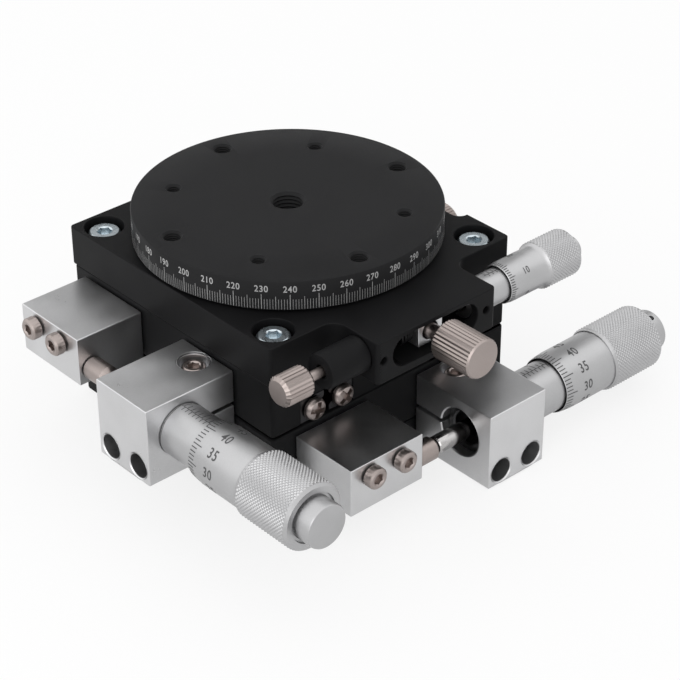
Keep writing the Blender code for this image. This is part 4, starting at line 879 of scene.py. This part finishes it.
front = lathe([(3.65, 35.0), (3.65, 20.45), (3.75, FINE_NOSE_END), (3.82, FINE_NOSE_END),
               (FINE_CONE_NOSE, 20.38), (FINE_THIMBLE, 21.8), (FINE_THIMBLE, 29.6), (low - 0.3, 30.1),
               (low, FINE_GRIP_START)], 2 * FINE_AROUND)
back = lathe([(low, FINE_GRIP_END), (low - 0.35, 38.8), (2.6, 38.8), (2.5, 38.9), (2.5, 40.75),
              (2.25, 41.0), (0, 41.0)], 2 * FINE_AROUND)
fine_grip = sealed(join(fine_grip, front, back))
piece("fine_thimble_finished", fine_grip, CHROME, "fine_thimble", ["fine_micrometer_thimble"], fine_axis)
zero = SEEN_SIDE + FINE_READING * LINE_DEGREES
fine_lines = thimble_scale(FINE_THIMBLE, FINE_CONE_NOSE, FINE_NOSE_END, 22.0, zero, 10, 1.3)
piece("fine_thimble_scale", fine_lines, DARK_INK, "fine_thimble", (), fine_axis)
print("fine adjustment made")

# %% [markdown]
# The table is a turned disc, matte black, with its hub below. Eight tapped holes take fixtures, and
# the hole in the middle is tapped as well, so its thread glints. Each thread is a row of grooves on
# the cutter and not a helix, because the two look the same at this size and a row is simpler to cut.

# %% Table
DISC_RADIUS, DISC_BOTTOM, DISC_TOP = 30.0, 38.0, 44.2
HUB_RADIUS, HUB_BOTTOM = 17.0, 30.9
disc = lathe([(0, DISC_TOP), (20.0, DISC_TOP), (29.6, DISC_TOP), (29.88, DISC_TOP - 0.12),
              (DISC_RADIUS, DISC_TOP - 0.4), (DISC_RADIUS, 38.25), (29.75, DISC_BOTTOM),
              (HUB_RADIUS, DISC_BOTTOM), (HUB_RADIUS, 31.2), (16.7, HUB_BOTTOM), (0, HUB_BOTTOM)], 240)
disc = carve(disc, tap(3.25, (0, 0, DISC_TOP), 15.0, pitch=0.8, steps=64))
for first, radius, circle in ((80.5, 1.8, 25.1), (125.5, 1.4, 22.7)):
    for number in range(4):
        angle = math.radians(first + 90 * number)
        place = (circle * math.cos(angle), circle * math.sin(angle), DISC_TOP)
        disc = carve(disc, tap(radius, place, 9.0))
piece("table_disc_finished", disc, BLACK_TURNED, "table", ["table_disc"])
print("table disc made")

# %% [markdown]
# A degree scale runs round the table's rim: a short line for each degree, longer ones at five and
# ten, and white figures above. It is laid out flat, one degree after the other, as the micrometers'
# scales are, and then bent round the rim.

# %% Degree scale
ARC = math.pi * DISC_RADIUS / 180
LINE_BOTTOM = 38.3
FIGURE_MIDDLE = 42.45
SCALE_TURN = 10


def rim_line(degree):
    """A degree line's top and width: a long one at each ten and a middling one at each five."""
    if degree % 10 == 0:
        return 41.4, 0.11
    if degree % 5 == 0:
        return 41.0, 0.08
    return 40.4, 0.065


sheet = bmesh.new()
for degree in range(360):
    top, width = rim_line(degree)
    join(sheet, stroke(width, top - LINE_BOTTOM, (degree * ARC, (top + LINE_BOTTOM) / 2)))
    if degree % 10 == 0:
        label = str((degree + SCALE_TURN) % 360)
        join(sheet, figures(label, 1.3, (degree * ARC, FIGURE_MIDDLE), narrow=0.85))
piece("table_degree_scale", wrap(sheet, DISC_RADIUS), WHITE_INK, "table")
print("degree scale made")

# %% [markdown]
# Cross-recessed screws hold the rollers in at the ends of the rails. Inside each tongue a long
# spring pushes the carriage's boss against the spindle. Rails, roller cages and the bearing are the
# CAD's own solids, since their plain ground shapes are right, with a finish of their own. Ground
# steel keeps fine lines along the way the wheel ran.

# %% Rails, return springs and what is carried over
BOSS_FACE, TONGUE_STOP, SPRING_UP = -18.5, 23.9, 3.15
for level, facts in LEVELS.items():
    start = facts["place"] @ at(BOSS_FACE, 0, SPRING_UP, ALONG_X)
    wound = spring(1.65, 0.6, 18, TONGUE_STOP - BOSS_FACE)
    coils = piece(f"{level}_return_spring_coils", wound, SPRING_STEEL, None, [f"{level}_return_spring"],
                  start)
    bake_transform(coils)
rail_screw = pan_screw(2.3, 1.5, 0.9, 4.5)
INNER, OUTER = 12.85, 19.75
RAIL_SCREW_SEAT = 29.5
for level, facts in LEVELS.items():
    rows = (("inner", INNER, facts["fixed"]), ("outer", OUTER, facts["moving"]))
    for side, sign in (("left", -1), ("right", 1)):
        for kind, across, body_name in rows:
            for end, turn, end_name in ((-1, ALONG_MINUS_X, "far"), (1, ALONG_X, "near")):
                place = facts["place"] @ at(end * RAIL_SCREW_SEAT, sign * across, RAIL_MIDDLE, turn)
                shown = level == "y" and end == 1
                nodes = [f"y_{kind}_rail_screw_{side}"] if shown else []
                spun = place @ Matrix.Rotation(0.6 * sign + across + end, 4, "Z")
                name = f"{level}_{kind}_rail_screw_{side}_{end_name}"
                piece(name, rail_screw.copy(), NICKEL, body_name, nodes, spun)
for name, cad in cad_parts.items():
    is_rail = "rail_" in name and "screw" not in name
    if is_rail or "cage" in name or name == "turntable_bearing":
        cad.material_slots[0].material = GROUND_STEEL
print("rail screws and carried-over nodes finished")

# %% [markdown]
# The camera stands as it did for the photo: to the front left and about 33 degrees above, with a
# long lens. It turns about one aim point, so its place is two angles, a roll and a distance.

# %% Camera
AZIMUTH, ELEVATION, ROLL, DISTANCE = -41.739, 32.686, -0.27, 0.433
aim = Vector((0.0073, -0.0066, 0.0125))
turn_round = math.radians(AZIMUTH)
up = math.radians(ELEVATION)
towards = Vector((math.sin(turn_round) * math.cos(up), -math.cos(turn_round) * math.cos(up),
                  math.sin(up)))
lens = bpy.data.cameras.new("camera")
lens.lens = 115.5
camera = link(bpy.data.objects.new("camera", lens))
camera.location = aim + towards * DISTANCE
camera.rotation_euler = (towards.to_track_quat("Z", "Y") @
                         about_z(ROLL).to_quaternion()).to_euler()
bpy.context.scene.camera = camera
bpy.context.scene.view_settings.view_transform = "Standard"
print("camera set")

# %% [markdown]
# The photo has a white background and soft light from a wide lamp overhead. The world is white for
# the camera and for rays off shiny surfaces, but dimmer for the light that it gives, so black stays
# black. Light Path tells which kind of ray asks. A smaller lamp fills in the left side.

# %% World and lamps
ROOM_LIGHT = 0.55
LAMP_TARGET = Vector((0, 0, 0.02))


def seen_rays(tree):
    """Two outputs: 1 for a ray from the camera, and 1 for one off a shiny surface or through glass."""
    path = add_node(tree, "ShaderNodeLightPath")
    mirrored = add_node(tree, "ShaderNodeMath", {"operation": "MAXIMUM"},
                        {0: path.outputs["Is Glossy Ray"], 1: path.outputs["Is Transmission Ray"]})
    return path.outputs["Is Camera Ray"], mirrored.outputs[0]


world = bpy.data.worlds.new("studio")
world.use_nodes = True
bpy.context.scene.world = world
tree = world.node_tree
tree.nodes.clear()
direct, mirrored = seen_rays(tree)
seen = add_node(tree, "ShaderNodeMath", {"operation": "MAXIMUM"}, {0: direct, 1: mirrored})
white = add_node(tree, "ShaderNodeBackground", {"Color": linear("#ffffff"), "Strength": 1.0})
room = add_node(tree, "ShaderNodeBackground", {"Color": linear("#ffffff"), "Strength": ROOM_LIGHT})
shown = add_node(tree, "ShaderNodeMixShader",
                 links={0: seen.outputs[0], 1: room.outputs[0], 2: white.outputs[0]})
add_node(tree, "ShaderNodeOutputWorld", links={"Surface": shown.outputs[0]})


def lamp(name, size, power, place):
    """A square soft lamp aimed at the stage."""
    light = bpy.data.lights.new(name, "AREA")
    light.shape = "SQUARE"
    light.size = size
    light.energy = power
    holder = link(bpy.data.objects.new(name, light))
    holder.location = place
    holder.rotation_euler = (Vector(place) - LAMP_TARGET).to_track_quat("Z", "Y").to_euler()


lamp("overhead", 3.4, 15.5, (-0.1, 0.15, 0.7))
lamp("front_left", 0.8, 2.4, (-0.65, -0.45, 0.35))
print("world and lamps set")

# %% [markdown]
# The floor is matte paper that glows for the camera, so it shows white and keeps a soft shadow. It
# glows less in a reflection, so metal shows the stage's shadow on it. A grey card stands high behind
# the stage, where only reflections see it: it keeps the faces that look up a little darker than
# those that face the light, as a dark wall does in a studio.

# %% Floor and card
SEEN_GLOW, MIRRORED_GLOW = 0.8, 0.3
MATTE_PAPER = {"Roughness": 0.9}


def square_sheet(name, half_width, place, material):
    """A flat square that stands by the stage and is no part of it."""
    shape = bmesh.new()
    bmesh.ops.create_grid(shape, x_segments=1, y_segments=1, size=half_width)
    mesh = as_mesh(shape, name)
    mesh.materials.append(material)
    made = link(bpy.data.objects.new(name, mesh))
    made.location = place
    return made


paper, tree, shader = new_material("white_paper", {"Base Color": linear("#ffffff"), **MATTE_PAPER})
tree.nodes.remove(shader)
matte = add_node(tree, "ShaderNodeBsdfDiffuse", {"Color": linear("#fafafa")})
glow = add_node(tree, "ShaderNodeEmission", {"Color": linear("#ffffff"), "Strength": 1.0})
direct, mirrored = seen_rays(tree)
reflected = add_node(tree, "ShaderNodeMath", {"operation": "MULTIPLY", 1: MIRRORED_GLOW}, {0: mirrored})
lifted = add_node(tree, "ShaderNodeMath", {"operation": "MULTIPLY_ADD", 1: SEEN_GLOW},
                  {0: direct, 2: reflected.outputs[0]})
blend = add_node(tree, "ShaderNodeMixShader",
                 links={0: lifted.outputs[0], 1: matte.outputs[0], 2: glow.outputs[0]})
tree.links.new(blend.outputs[0], tree.nodes["Material Output"].inputs["Surface"])
floor = square_sheet("floor", 1.5, (0, 0, -0.0002), paper)

grey, tree, shader = new_material("grey_card", {"Base Color": linear("#c2c2c2"), **MATTE_PAPER})
card = square_sheet("grey_card", 0.38, (0.47, 0.53, 0.5), grey)
card.rotation_euler = (card.location - aim).to_track_quat("Z", "Y").to_euler()
card.visible_camera = False
card.visible_diffuse = False
card.visible_shadow = False
print("floor and card set")
